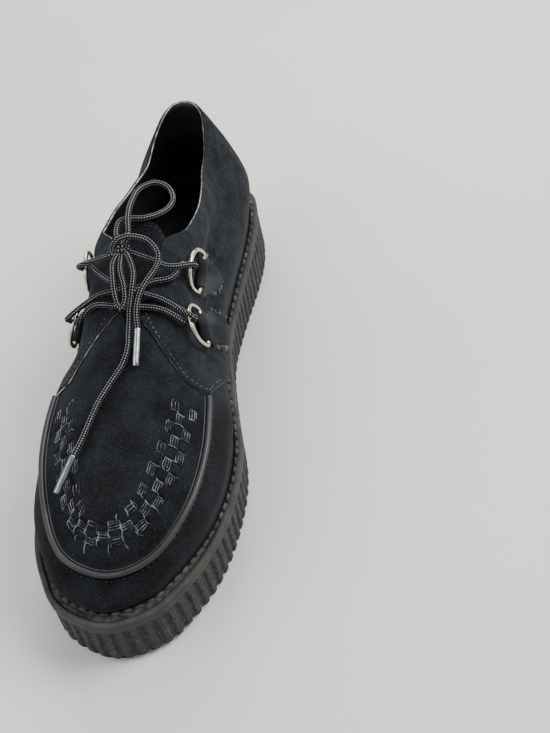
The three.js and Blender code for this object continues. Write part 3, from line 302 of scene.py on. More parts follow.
class Graph:
    """A smooth curve through rows of keys and values that never overshoots them."""

    def __init__(self, keys, values):
        self.keys = np.array(keys, float)
        self.values = np.array(values, float)
        rate = np.diff(self.values) / np.diff(self.keys)
        total = rate[:-1] + rate[1:]
        mean = 2 * rate[:-1] * rate[1:] / np.where(total == 0, 1, total)
        level = rate[:-1] * rate[1:] <= 0
        self.slopes = np.concatenate([[rate[0]], np.where(level, 0, mean), [0]])

    def __call__(self, place):
        place = np.asarray(place, float)
        i = np.clip(np.searchsorted(self.keys, place, side="left") - 1, 1, len(self.keys) - 2)
        span = self.keys[i + 1] - self.keys[i]
        t = (place - self.keys[i]) / span
        return hermite(
            self.values[i], self.values[i + 1],
            self.slopes[i] * span, self.slopes[i + 1] * span, t,
        )


def hermite(a, b, leave, arrive, t):
    t2 = t * t
    t3 = t2 * t
    return (
        (2 * t3 - 3 * t2 + 1) * a + (t3 - 2 * t2 + t) * leave
        + (3 * t2 - 2 * t3) * b + (t3 - t2) * arrive
    )


def along_graph(rows, column):
    keys = [-0.1] + [row[0] for row in rows] + [1.1]
    values = [row[column] for row in rows]
    return Graph(keys, [values[0]] + values + [values[-1]])


def wrap(way):
    way = np.asarray(way, float)
    return np.where(way > 1, way - 2, np.where(way < -1, way + 2, way))


def round_graph(rows, inner, outer):
    ring = [(-row[0], outer(row)) for row in rows[1:-1][::-1]]
    ring += [(row[0], inner(row)) for row in rows]
    keys, values = [], []
    for i in range(-2, len(ring) + 2):
        turn, place = divmod(i, len(ring))
        keys.append(ring[place][0] + 2 * turn)
        values.append(ring[place][1])
    graph = Graph(keys, values)
    return lambda way: graph(wrap(way))


def even_graph(rows, column):
    return round_graph(rows, lambda row: row[column], lambda row: row[column])


def catmull(points, places, closed=False):
    """Points on the centripetal curve through points, at places from 0 to 1."""
    points = np.array(points, float)
    count = len(points)
    places = np.asarray(places, float)
    if closed:
        spread = places * count
        first = np.floor(spread).astype(int)
        t = spread - first
        p = [points[(first + k) % count] for k in (-1, 0, 1, 2)]
    else:
        spread = places * (count - 1)
        first = np.minimum(np.floor(spread).astype(int), count - 2)
        t = spread - first
        padded = np.vstack([2 * points[0] - points[1], points, 2 * points[-1] - points[-2]])
        p = [padded[first + k] for k in (0, 1, 2, 3)]
    spans = [np.linalg.norm(p[k + 1] - p[k], axis=1) for k in range(3)]
    d = [np.maximum(span ** 0.5, 1e-4)[:, None] for span in spans]
    leave = (p[1] - p[0]) / d[0] - (p[2] - p[0]) / (d[0] + d[1]) + (p[2] - p[1]) / d[1]
    arrive = (p[2] - p[1]) / d[1] - (p[3] - p[1]) / (d[1] + d[2]) + (p[3] - p[2]) / d[2]
    return hermite(p[1], p[2], leave * d[1], arrive * d[1], t[:, None])


# ---- Sole outline

def make_rim():
    inner = [(at * LENGTH, share * width / 2) for at, width, share, _ in OUTLINE]
    outer = [(at * LENGTH, -share * width / 2) for at, width, _, share in OUTLINE]
    points = [(0, TIP_SHIFT)] + inner + [(LENGTH, TIP_SHIFT)] + outer[::-1]
    return catmull(points, np.arange(2401) / 2400 % 1, closed=True)


def walked(points):
    return np.concatenate([[0], np.cumsum(np.linalg.norm(np.diff(points, axis=0), axis=1))])


RIM = make_rim()
TOE_INDEX = int(RIM[:, 0].argmax())
INNER_RIM = RIM[:TOE_INDEX + 1]
OUTER_RIM = RIM[TOE_INDEX:][::-1]
INNER_STEPS = walked(INNER_RIM)
OUTER_STEPS = walked(OUTER_RIM)
SIDE_RUN = INNER_STEPS[-1]
PERIMETER = INNER_STEPS[-1] + OUTER_STEPS[-1]


def rim_point(way):
    way = wrap(way)
    share = np.abs(way)
    inner = [np.interp(share * INNER_STEPS[-1], INNER_STEPS, INNER_RIM[:, k]) for k in (0, 1)]
    outer = [np.interp(share * OUTER_STEPS[-1], OUTER_STEPS, OUTER_RIM[:, k]) for k in (0, 1)]
    flat = [np.where(way >= 0, inner[k], outer[k]) for k in (0, 1)]
    return np.stack([flat[0], flat[1], np.zeros_like(flat[0])], axis=-1)


def rim_outward(way):
    run = rim_point(way + NUDGE) - rim_point(way - NUDGE)
    out = np.stack([-run[..., 1], run[..., 0], np.zeros_like(run[..., 0])], axis=-1)
    return unit(out)


def unit(vectors):
    return vectors / np.maximum(np.linalg.norm(vectors, axis=-1, keepdims=True), 1e-12)


def rim_inset(way, inset):
    return rim_point(way) - rim_outward(way) * np.asarray(inset, float)[..., None]


sole_top = along_graph(SOLE_HEIGHTS, 1)
sole_lift = along_graph(SOLE_HEIGHTS, 2)
ledge_at = even_graph(EDGE_OF_SOLE, 1)
flare_at = even_graph(EDGE_OF_SOLE, 2)


def top_at(points):
    return sole_top(np.clip(points[..., 0] / LENGTH, 0, 1))


def bottom_at(points):
    return sole_lift(np.clip(points[..., 0] / LENGTH, 0, 1))


# ---- Surface of the upper

out_at = even_graph(SIDE, 1)
low_at = even_graph(SIDE, 2)
in_at = round_graph(SIDE, lambda row: row[3], lambda row: row[4])
up_at = even_graph(SIDE, 5)
push_at = even_graph(SWELL, 1)
raise_at = even_graph(SWELL, 2)
top_x = even_graph(TOP, 1)
top_up = even_graph(TOP, 5)
top_y = round_graph(
    TOP,
    lambda row: row[4] + row[3] * row[2] / 2,
    lambda row: row[4] - row[3] * row[2] / 2,
)
FEATHER_SEAT = HEEL_THICKNESS - WELT_RECESS + CLEARANCE


def smooth(low, high, value):
    share = np.clip((value - low) / (high - low), 0, 1)
    return share * share * (3 - 2 * share)


def feather_point(way):
    point = rim_inset(way, ledge_at(way))
    point[..., 2] = top_at(point) - WELT_RECESS + CLEARANCE
    return point


def crease_point(way):
    """Edge of the apron: round the toe, the mean of nearby places, so that it stays a bow."""
    spots = [
        rim_inset(way + step * EASE_STEP, ledge_at(way + step * EASE_STEP)
                  + in_at(way + step * EASE_STEP) * CREASE_INSET)
        for step in (-2, -1, 0, 1, 2)
    ]
    mean = (spots[0] + 2 * spots[1] + 3 * spots[2] + 2 * spots[3] + spots[4]) / 9
    share = smooth(EASE_FROM, EASE_TO, np.abs(wrap(way)))[..., None]
    return spots[2] * (1 - share) + mean * share


def shape_lines(way):
    feather = feather_point(way)
    outward = rim_outward(way)
    full = feather + outward * out_at(way)[..., None]
    full[..., 2] += low_at(way) * CREASE_HEIGHT
    crease = crease_point(way)
    crease[..., 2] = feather[..., 2] + up_at(way) * CREASE_HEIGHT
    top = np.stack([top_x(way) * LENGTH, top_y(way), FEATHER_SEAT + top_up(way)], axis=-1)
    panel = (crease + top) / 2 + outward * push_at(way)[..., None]
    panel[..., 2] += raise_at(way) * (top[..., 2] - crease[..., 2])
    return feather, full, crease, panel, top


def skin(way, height):
    """Outer surface of the upper. Height is 0 at the feather, 0.5 at the piping, 1 on top."""
    way, height = np.broadcast_arrays(np.asarray(way, float), np.asarray(height, float))
    feather, full, crease, panel, top = shape_lines(way)
    place = np.abs(wrap(way))
    sharp = smooth(0.50, 0.60, place)[..., None]
    closed = smooth(THROAT - 0.07, THROAT, place)[..., None]
    rise = np.zeros_like(feather)
    rise[..., 2] = np.linalg.norm(full - feather, axis=-1)
    roll = (panel - full) / 2
    h = height[..., None]
    low = hermite(feather, full, rise, (crease - feather) / 2, h / 0.25)
    meet = roll * (1 - sharp) + (crease - full) * sharp
    side = hermite(full, crease, (crease - feather) / 2, meet, h / 0.25 - 1)
    leave = roll * (1 - sharp) + (panel - crease) * 1.1 * sharp
    over = hermite(crease, panel, leave, (top - crease) / 2, h / 0.25 - 2)
    settle = top - panel
    settle[..., 2:] *= 1 - closed
    crown = hermite(panel, top, (top - crease) / 2, settle, h / 0.25 - 3)
    return np.where(h <= 0.25, low, np.where(h <= 0.5, side, np.where(h <= 0.75, over, crown)))


def skin_normal(way, height):
    way, height = np.broadcast_arrays(np.asarray(way, float), np.asarray(height, float))
    low = np.maximum(0, height - NUDGE)
    high = np.minimum(1, height + NUDGE)
    along = skin(way + NUDGE, height) - skin(way - NUDGE, height)
    up = skin(way, high) - skin(way, low)
    normal = unit(np.cross(up, along))
    place = np.abs(way)
    ridge = (height > 0.999) & (place >= THROAT - 1e-6)
    run = skin(np.minimum(POLE, place) + 0.01, 1.0) - skin(place - 0.01, 1.0)
    flat = (place >= POLE) | (np.linalg.norm(run, axis=-1) < 1e-6)
    ahead = np.stack([-run[..., 2], np.zeros_like(run[..., 2]), run[..., 0]], axis=-1)
    level = unit(np.array([0.25, 0, 1.0]))
    middle = np.where(flat[..., None], level, unit(ahead))
    return np.where(ridge[..., None], middle, normal)


def skin_offset(way, height, offset):
    offset = np.asarray(offset, float)
    return skin(way, height) + skin_normal(way, height) * offset[..., None]


def directions(way, height):
    way, height = np.broadcast_arrays(np.asarray(way, float), np.asarray(height, float))
    along = (skin(way + NUDGE, height) - skin(way - NUDGE, height)) / (2 * NUDGE)
    low = np.maximum(0, height - NUDGE)
    high = np.minimum(1, height + NUDGE)
    up = (skin(way, high) - skin(way, low)) / (high - low)[..., None]
    return along, up


def wander(way, height, turn, distance):
    """Walks over the surface, turned forward from straight up the wall."""
    way, height, distance = np.broadcast_arrays(
        np.asarray(way, float), np.asarray(height, float), np.asarray(distance, float)
    )
    side = np.where(way >= 0, 1, -1)
    way, height = way.copy(), height.copy()
    for _ in range(WALK_STEPS):
        along, up = directions(way, height)
        part = distance / WALK_STEPS
        way = way + side * part * math.sin(turn) / np.linalg.norm(along, axis=-1)
        climb = part * math.cos(turn) / np.linalg.norm(up, axis=-1)
        height = np.clip(height + climb, 0.01, 1)
    return way, height


LAP_GRAPH = Graph(
    [-1.1] + [-row[0] for row in LAP_EDGE] + [0.1],
    [LAP_EDGE[0][1]] + [row[1] for row in LAP_EDGE] + [LAP_EDGE[-1][1]],
)


def lap_edge(height):
    return LAP_GRAPH(-np.asarray(height, float))


def deck_base(way, across):
    way, across = np.broadcast_arrays(np.asarray(way, float), np.asarray(across, float))
    reach = np.abs(across)
    wall = skin(np.sign(across) * way, np.maximum(0.3, 1 - 0.5 * np.maximum(reach - 1, 0)))
    inner = skin(way, 1.0)
    outer = skin(-way, 1.0)
    gap = np.linalg.norm(inner - outer, axis=-1)
    point = outer + (inner - outer) * ((across + 1) / 2)[..., None]
    point[..., 2] += DECK_CROWN * gap * (1 - across * across)
    return np.where((reach > 1)[..., None], wall, point)


def deck(rows):
    rows = np.atleast_2d(np.array(rows, float))
    way, across, lift = rows[:, 0], rows[:, 1], rows[:, 2]
    along = deck_base(way + 0.01, across) - deck_base(way - 0.01, across)
    over = deck_base(way, across + 0.12) - deck_base(way, across - 0.12)
    normal = unit(np.cross(along, over))
    return deck_base(way, across) + normal * (lift * LACE)[:, None]


# ---- Meshes

def to_row(points):
    return (np.asarray(points, float) - ORIGIN) * MM


def make_mesh(name, points, faces, materials, slots=None, shade=True, **values):
    """A mesh object from points in last millimetres, with float values kept on its points."""
    mesh = bpy.data.meshes.new(name)
    mesh.from_pydata(to_row(points).tolist(), [], [list(map(int, face)) for face in faces])
    for material in materials:
        mesh.materials.append(material)
    if slots is not None:
        mesh.polygons.foreach_set("material_index", np.asarray(slots, np.int32))
    mesh.polygons.foreach_set("use_smooth", np.full(len(mesh.polygons), shade))
    for key, value in values.items():
        attribute = mesh.attributes.new(key, "FLOAT", "POINT")
        attribute.data.foreach_set("value", np.asarray(value, np.float32).ravel())
    mesh.update()
    piece = bpy.data.objects.new(name, mesh)
    bpy.context.scene.collection.objects.link(piece)
    return piece


def weld(piece, distance=2e-6):
    """Merges doubles and drops what shrinks to a line."""
    shape = bmesh.new()
    shape.from_mesh(piece.data)
    bmesh.ops.remove_doubles(shape, verts=shape.verts, dist=distance)
    bmesh.ops.dissolve_degenerate(shape, dist=distance, edges=shape.edges)
    shape.to_mesh(piece.data)
    shape.free()
    piece.data.update()


def grid_faces(rows, columns, start=0, close_rows=False, close_columns=False):
    """Quads over a grid numbered row by row, facing out where rows go up and columns go round."""
    i = np.arange(rows if close_rows else rows - 1)[:, None]
    j = np.arange(columns if close_columns else columns - 1)[None, :]
    a = i * columns + j
    b = ((i + 1) % rows) * columns + j
    c = ((i + 1) % rows) * columns + (j + 1) % columns
    d = i * columns + (j + 1) % columns
    return np.stack([a, b, c, d], axis=-1).reshape(-1, 4) + start


def crosswise(columns, top):
    """Quads straight across a ring of columns, at its first row and at the row from top."""
    quads = []
    for i in range(columns // 2 - 1):
        a, b, c, d = i, i + 1, columns - 2 - i, columns - 1 - i
        quads.append((a, b, c, d))
        quads.append((top + b, top + a, top + d, top + c))
    return np.array(quads)


def turned_right(points, faces):
    """The same faces, all turned over if the closed shape is inside out."""
    points = np.asarray(points, float)
    centre = points.mean(0)
    volume = 0
    for k in range(1, faces.shape[1] - 1):
        a, b, c = points[faces[:, 0]], points[faces[:, k]], points[faces[:, k + 1]]
        volume += np.einsum("ij,ij->i", a - centre, np.cross(b - centre, c - centre)).sum()
    return faces[:, ::-1] if volume < 0 else faces


def slab(low, high):
    """Points, faces and counts of a closed sheet between two grids of points."""
    rows, columns = low.shape[:2]
    count = rows * columns
    points = np.concatenate([high.reshape(-1, 3), low.reshape(-1, 3)])
    top = grid_faces(rows, columns)
    under = grid_faces(rows, columns, count)[:, ::-1]
    loop = list(range(columns))
    loop += [k * columns + columns - 1 for k in range(1, rows)]
    loop += [(rows - 1) * columns + k for k in range(columns - 2, -1, -1)]
    loop += [k * columns for k in range(rows - 2, 0, -1)]
    edge = np.array([(a, b, b + count, a + count) for a, b in zip(loop, loop[1:] + loop[:1])])
    faces = turned_right(points, np.concatenate([top, under, edge]))
    return points, faces, (len(top), len(under), len(edge))


def slab_piece(name, low, high, materials, slots=(0, 0, 0), **values):
    """A closed sheet as a piece. Slots are for its top, underside and edge."""
    points, faces, counts = slab(low, high)
    doubled = {key: np.concatenate([np.ravel(v), np.ravel(v)]) for key, v in values.items()}
    return make_mesh(name, points, faces, materials, np.repeat(slots, counts), **doubled)


def sweep(points, radius, sides, closed=False, lead=None):
    """Rings of points round a path, untwisted or led by a direction. Returns points and faces."""
    points = np.asarray(points, float)
    count = len(points)
    if closed:
        run = np.roll(points, -1, axis=0) - np.roll(points, 1, axis=0)
    else:
        run = np.gradient(points, axis=0)
    run = unit(run)
    axis = np.zeros((count, 3))
    first = np.cross(run[0], [0, 0, 1.0])
    if np.linalg.norm(first) < 0.1:
        first = np.cross(run[0], [0, 1.0, 0])
    axis[0] = unit(first)
    for i in range(1, count):
        axis[i] = unit(axis[i - 1] - run[i] * np.dot(axis[i - 1], run[i]))
        if lead is not None:
            aim = lead - run[i] * np.dot(lead, run[i])
            pull = 0.3 * max(0.0, np.linalg.norm(aim) - 0.3)
            axis[i] = unit(axis[i] * (1 - pull) + unit(aim) * pull)
            axis[i] = unit(axis[i] - run[i] * np.dot(axis[i], run[i]))
    other = np.cross(axis, run)
    angle = 2 * math.pi * np.arange(sides) / sides
    if closed:
        last = unit(axis[-1] - run[0] * np.dot(axis[-1], run[0]))
        twist = math.atan2(np.dot(last, other[0]), np.dot(last, axis[0]))
        turn = angle[None, :] - twist * (np.arange(count) / count)[:, None]
    else:
        turn = np.repeat(angle[None, :], count, axis=0)
    radius = np.broadcast_to(np.asarray(radius, float), (count, sides))
    ring = (
        points[:, None, :]
        + axis[:, None, :] * (radius * np.cos(turn))[..., None]
        + other[:, None, :] * (radius * np.sin(turn))[..., None]
    )
    faces = grid_faces(count, sides, close_rows=closed, close_columns=True)
    return ring.reshape(-1, 3), faces


def cap_ends(ring, faces, sides):
    """Closes an open sweep with a centre point at each end."""
    count = len(ring)
    first = ring[:sides].mean(0)
    last = ring[-sides:].mean(0)
    points = np.vstack([ring, first, last])
    extra = []
    for k in range(sides):
        n = (k + 1) % sides
        extra.append((count, k, n))
        extra.append((count + 1, count - sides + n, count - sides + k))
    return points, [tuple(f) for f in faces] + extra


def rod(line, radius, sides, lead=None):
    """Points and faces of a round bar along a line, closed at both ends."""
    ring, faces = sweep(line, radius, sides, lead=lead)
    return cap_ends(ring, faces, sides)


def joined(shapes):
    """Points and faces of several shapes as one."""
    points, faces, start = [], [], 0
    for shape_points, shape_faces in shapes:
        points.append(shape_points)
        faces += [tuple(int(v) + start for v in face) for face in shape_faces]
        start += len(shape_points)
    return np.concatenate(points), faces


def even_path(points, step, closed=False):
    """Points an even step apart on the smooth curve through the given points."""
    places = np.linspace(0, 1, 40 * len(points) + 1)
    fine = catmull(points, places % 1 if closed else places, closed)
    run = walked(fine)
    count = max(2, int(round(run[-1] / step)))
    places = np.linspace(0, run[-1], count + 1)
    if closed:
        places = places[:-1]
    return np.stack([np.interp(places, run, fine[:, k]) for k in range(3)], axis=-1)


# ---- Materials

def linear(code):
    """An sRGB hex colour as linear values."""
    parts = [int(code[i:i + 2], 16) / 255 for i in (1, 3, 5)]
    bright = [c / 12.92 if c <= 0.04045 else ((c + 0.055) / 1.055) ** 2.4 for c in parts]
    return (*bright, 1.0)


def add(tree, kind, inputs=None, **settings):
    """Adds a node with its settings, then a link or a value for each input named."""
    made = tree.nodes.new(kind)
    for key, value in settings.items():
        setattr(made, key, value)
    for socket, value in (inputs or {}).items():
        if isinstance(value, bpy.types.NodeSocket):
            tree.links.new(value, made.inputs[socket])
        else:
            made.inputs[socket].default_value = value
    return made


def finish(name, dark, light, patch, grain, depth, layers=None, **settings):
    """A finish mottled between two colours, with a grain. Patch, grain and depth are in mm.

    Layers gives factors, and the colours that they lay over the mottling.
    """
    material = bpy.data.materials.new(name)
    material.use_nodes = True
    tree = material.node_tree
    tree.nodes.clear()
    shader = add(tree, "ShaderNodeBsdfPrincipled", {
        key.replace("_", " "): value for key, value in settings.items()
    })
    add(tree, "ShaderNodeOutputMaterial", {"Surface": shader.outputs["BSDF"]})
    place = add(tree, "ShaderNodeTexCoord").outputs["Object"]
    blotch = add(tree, "ShaderNodeTexNoise", {
        "Vector": place, "Scale": 1 / (patch * MM), "Detail": 4.0,
    })
    share = add(tree, "ShaderNodeMapRange", {
        "Value": blotch.outputs["Fac"], "From Min": 0.36, "From Max": 0.68,
    }, interpolation_type="SMOOTHSTEP")
    colour = add(tree, "ShaderNodeMix", {
        0: share.outputs["Result"], 6: linear(dark), 7: linear(light),
    }, data_type="RGBA")
    fine = add(tree, "ShaderNodeTexNoise", {
        "Vector": place, "Scale": 1 / (grain * MM), "Detail": 3.0, "Roughness": 0.6,
    })
    for factor, tint in layers(tree, place, fine.outputs["Fac"]) if layers else ():
        colour = add(tree, "ShaderNodeMix", {
            0: factor, 6: colour.outputs[2], 7: linear(tint),
        }, data_type="RGBA")
    tree.links.new(colour.outputs[2], shader.inputs["Base Color"])
    relief = add(tree, "ShaderNodeBump", {
        "Height": fine.outputs["Fac"], "Strength": 1.0, "Distance": depth * MM,
    }, name="relief")
    tree.links.new(relief.outputs["Normal"], shader.inputs["Normal"])
    return material


def suede(name, dark, light):
    """Brushed split leather: matt and deep, with paler patches where its fibres stand up.

    The fibres are far finer than a pixel, so the grain is drawn at about a millimetre.
    A point attribute is 1 where the fibres are worn and stand up, about 6 mm to a tuft. The upper
    and the quarters' front pieces set it on the quarters, whose paler patches are partly raised
    fibres and partly painted light.
    """
    def nap_flecks_and_painted_light(tree, place, grain):
        speck = add(tree, "ShaderNodeMapRange", {
            "Value": grain, "From Min": 0.45, "From Max": 0.8, "To Max": 0.35,
        }, interpolation_type="SMOOTHSTEP")
        tuft = add(tree, "ShaderNodeTexNoise", {
            "Vector": place, "Scale": 1 / (6 * MM), "Detail": 8.0, "Roughness": 0.8,
        })
        cloud = add(tree, "ShaderNodeMapRange", {
            "Value": tuft.outputs["Fac"],
            "From Min": 0.42, "From Max": 0.70, "To Min": 0.04, "To Max": 0.5,
        })
        # Paler where the point attribute is set: brushed nap, and on the quarters partly painted
        # light.
        brushed = add(tree, "ShaderNodeMath", {
            0: add(tree, "ShaderNodeAttribute", attribute_name="brushed").outputs["Fac"],
            1: cloud.outputs["Result"],
        }, operation="MULTIPLY")
        return [(speck.outputs["Result"], "#3a3d42"), (brushed.outputs[0], "#33363a")]

    material = finish(
        name, dark, light, 15, 0.9, 0.16, nap_flecks_and_painted_light, Roughness=0.95, Specular_IOR_Level=0.12,
        Sheen_Weight=0.10, Sheen_Roughness=0.5, Sheen_Tint=linear("#8f959e"),
    )
    tree = material.node_tree
    broad = add(tree, "ShaderNodeTexNoise", {
        "Vector": add(tree, "ShaderNodeTexCoord").outputs["Object"], "Scale": 1 / (7 * MM),
    })
    puckers = add(tree, "ShaderNodeBump", {"Height": broad.outputs["Fac"], "Distance": 0.3 * MM})
    tree.links.new(puckers.outputs["Normal"], tree.nodes["relief"].inputs["Normal"])
    return material


def ribbed_rubber(name, dark, light, speckle):
    """Moulded rubber, coarse on the side of the sole, where pale specks show, and with painted shade
    that darkens the grooves.

    The attribute "land" is 1 on a rib and falls towards 0 in a groove.
    """
    def grit_and_groove_shade(tree, _, grain):
        # Painted shade: the grooves are darkened towards #232322 where the land attribute falls.
        groove = add(tree, "ShaderNodeMapRange", {
            "Value": add(tree, "ShaderNodeAttribute", attribute_name="land").outputs["Fac"],
            "To Min": 0.3, "To Max": 0.0,
        })
        raised = add(tree, "ShaderNodeMapRange", {
            "Value": grain, "From Min": 0.48, "From Max": 0.66, "To Max": 0.6,
        }, interpolation_type="SMOOTHSTEP")
        return [(groove.outputs["Result"], "#232322"), (raised.outputs["Result"], speckle)]

    return finish(
        name, dark, light, 8, 1.2, 0.38, grit_and_groove_shade, Roughness=0.8, IOR=1.52, Specular_IOR_Level=0.35,
    )


def braided_cord(name, yarn, fleck, pitch, rows=6):
    """Round braided cord: rows of pale flecks where the yarns cross.

    The real flecks lie about 1.1 mm apart along the cord, and are drawn a little coarser so
    that they show. The UV map holds turns round the cord and metres along it.
    """
    def flecks(tree, *_):
        spot = add(tree, "ShaderNodeSeparateXYZ", {
            "Vector": add(tree, "ShaderNodeUVMap").outputs["UV"],
        })
        turns = add(tree, "ShaderNodeMath", {0: spot.outputs["X"], 1: rows}, operation="MULTIPLY")
        lane = add(tree, "ShaderNodeMath", {0: turns.outputs[0]}, operation="FRACT")
        off = add(tree, "ShaderNodeMath", {0: lane.outputs[0], 1: 0.5}, operation="SUBTRACT")
        beside = add(tree, "ShaderNodeMath", {0: off.outputs[0]}, operation="ABSOLUTE")
        along = add(tree, "ShaderNodeMath", {
            0: spot.outputs["Y"], 1: pitch * MM,
        }, operation="DIVIDE")
        slanted = add(tree, "ShaderNodeMath", {
            0: off.outputs[0], 1: 1.3, 2: along.outputs[0],
        }, operation="MULTIPLY_ADD")
        beat = add(tree, "ShaderNodeMath", {0: slanted.outputs[0]}, operation="FRACT")
        swing = add(tree, "ShaderNodeMath", {0: beat.outputs[0], 1: 0.5}, operation="SUBTRACT")
        away = add(tree, "ShaderNodeMath", {0: swing.outputs[0]}, operation="ABSOLUTE")
        row = add(tree, "ShaderNodeMapRange", {
            "Value": beside.outputs[0], "From Min": 0.24, "From Max": 0.10,
        })
        dash = add(tree, "ShaderNodeMapRange", {
            "Value": away.outputs[0], "From Min": 0.24, "From Max": 0.12,
        })
        both = add(tree, "ShaderNodeMath", {
            0: row.outputs["Result"], 1: dash.outputs["Result"],
        }, operation="MULTIPLY")
        return [(both.outputs[0], fleck)]

    return finish(
        name, yarn, "#0f1011", 3, 0.4, 0.05, flecks, Roughness=0.75, Specular_IOR_Level=0.15,
    )


# Suede, dyed black: matt, paler only where the nap is brushed up or worn; on the quarters that
# paleness is partly painted light.
SUEDE = suede("black_suede", "#060708", "#141619")
# The tabs' suede is handled more, and reads a shade greyer.
SUEDE_TAB = suede("black_suede_tab", "#141516", "#303234")
# Thin smooth lining leather, black, with a weak shine.
LINING = finish(
    "black_lining_leather", "#070708", "#0d0d0e", 12, 1.2, 0.08, Roughness=0.55,
)
# The footbed's leather is a shade paler and duller than the lining.
INSOLE_LEATHER = finish(
    "black_insole_leather", "#0a0a0b", "#121213", 14, 1.5, 0.08, Roughness=0.6,
)
# Cut edges that were never dyed: pale hide that shows between dye and wear.
RAW_EDGE = finish(
    "undyed_leather_edge", "#4a4843", "#bdb9ad", 5, 0.8, 0.15, Roughness=0.9,
)
# Cut edges that were dyed: the worn fibres give a thin grey line.
WORN_EDGE = finish(
    "worn_suede_edge", "#141517", "#4a4d50", 4, 0.6, 0.12, Roughness=0.9,
)
# Edges of the woven strips, the tops of their ridges and the crests of the gathers: paler partly
# from rubbing and partly as painted highlight, the bright dashes of the apron.
WOVEN_EDGE_AND_HIGHLIGHT = finish(
    "worn_woven_edge_and_highlight", "#141517", "#74777a", 4, 0.5, 0.1, Roughness=0.85,
)
# Loose fibres of the split leather, grey and matt, at the cut edge of a tab.
FRAYED_NAP = finish(
    "frayed_suede_fibres", "#3c3e40", "#8e9194", 3, 0.5, 0.05, Roughness=0.9,
)
# Smooth coated leather over the piping cord: a soft broad highlight.
SMOOTH_LEATHER = finish(
    "smooth_black_leather", "#0a0b0c", "#161719", 9, 1.6, 0.05,
    Roughness=0.5, Coat_Weight=0.05, Coat_Roughness=0.35,
)
# Moulded rubber, charcoal grey and matt, smooth on the rim band and the tread.
RUBBER = finish(
    "moulded_sole_rubber", "#242423", "#33322f", 9, 0.8, 0.1,
    Roughness=0.75, IOR=1.52, Specular_IOR_Level=0.4,
)
# The ribbed side is a darker copy of the rim band's rubber, painted shade on the side of the sole,
# with pale grit on the ribs.
RUBBER_RIBS_SHADED = ribbed_rubber("ribbed_sole_rubber_shaded", "#1f1f1e", "#2b2a29", "#504e4a")
# The welt strip is rougher than the rest and uneven in tone.
RUBBER_WELT = finish(
    "rough_welt_rubber", "#181817", "#3a3937", 4, 0.9, 0.4,
    Roughness=0.85, IOR=1.52, Specular_IOR_Level=0.3,
)
# The welt's moulded stitches are rubbed smoother and catch more light.
RUBBER_STITCH = finish(
    "moulded_welt_stitch", "#242322", "#474643", 5, 0.7, 0.15,
    Roughness=0.8, IOR=1.52, Specular_IOR_Level=0.4,
)
# Nickel plate, warm and a little dulled by handling.
NICKEL = finish(
    "pale_nickel_plate", "#b9b3a0", "#d0cab8", 6, 2.0, 0.02, Roughness=0.26, Metallic=1.0,
)
# Rolled sheet steel, greyer and duller than the rings.
TIP_METAL = finish(
    "lace_tip_metal", "#75787a", "#a3a5a6", 6, 1.0, 0.06, Roughness=0.28, Metallic=1.0,
)
# Polyester thread: most stitches sink in the nap, a few catch the light.
THREAD = finish(
    "stitching_thread", "#121314", "#6c6f72", 6, 0.5, 0.05, Roughness=0.75,
)
# The same thread where it stays black and shows by its relief alone.
DARK_THREAD = finish(
    "black_stitching_thread", "#0e0f10", "#2c2d30", 6, 0.5, 0.05, Roughness=0.75,
)
# Polyester braid, black with one pale yarn.
LACE_CORD = braided_cord("braided_lace_cord", "#050506", "#9c9ea0", 1.3)
# Painted studio floor.
PALE_FLOOR = finish("pale_floor", "#c6c3bd", "#cbc8c2", 300, 20, 0.0, Roughness=0.8)


# ---- Stitches: a thread capsule on every step of a seam, by Geometry Nodes

def stitch_tree():
    tree = bpy.data.node_groups.new("stitches_on_a_seam", "GeometryNodeTree")
    face = tree.interface
    face.new_socket("Geometry", in_out="INPUT", socket_type="NodeSocketGeometry")
    for name in ("Pitch", "Stitch Length", "Stitch Width"):
        face.new_socket(name, in_out="INPUT", socket_type="NodeSocketFloat")
    face.new_socket("Material", in_out="INPUT", socket_type="NodeSocketMaterial")
    face.new_socket("Geometry", in_out="OUTPUT", socket_type="NodeSocketGeometry")
    given = add(tree, "NodeGroupInput").outputs
    dots = add(tree, "GeometryNodeCurveToPoints", {
        "Curve": given["Geometry"], "Length": given["Pitch"],
    }, mode="LENGTH")
    ball = add(tree, "GeometryNodeMeshUVSphere", {"Segments": 6, "Rings": 5, "Radius": 0.5})
    size = add(tree, "ShaderNodeCombineXYZ", {
        "X": given["Stitch Width"], "Y": given["Stitch Width"], "Z": given["Stitch Length"],
    })
    placed = add(tree, "GeometryNodeInstanceOnPoints", {
        "Points": dots.outputs["Points"], "Instance": ball.outputs["Mesh"],
        "Rotation": dots.outputs["Rotation"], "Scale": size.outputs["Vector"],
    })
    real = add(tree, "GeometryNodeRealizeInstances", {"Geometry": placed.outputs["Instances"]})
    soft = add(tree, "GeometryNodeSetShadeSmooth", {"Geometry": real.outputs["Geometry"]})
    done = add(tree, "GeometryNodeSetMaterial", {
        "Geometry": soft.outputs["Geometry"], "Material": given["Material"],
    })
    add(tree, "NodeGroupOutput", {"Geometry": done.outputs["Geometry"]})
    return tree


STITCH_TREE = stitch_tree()


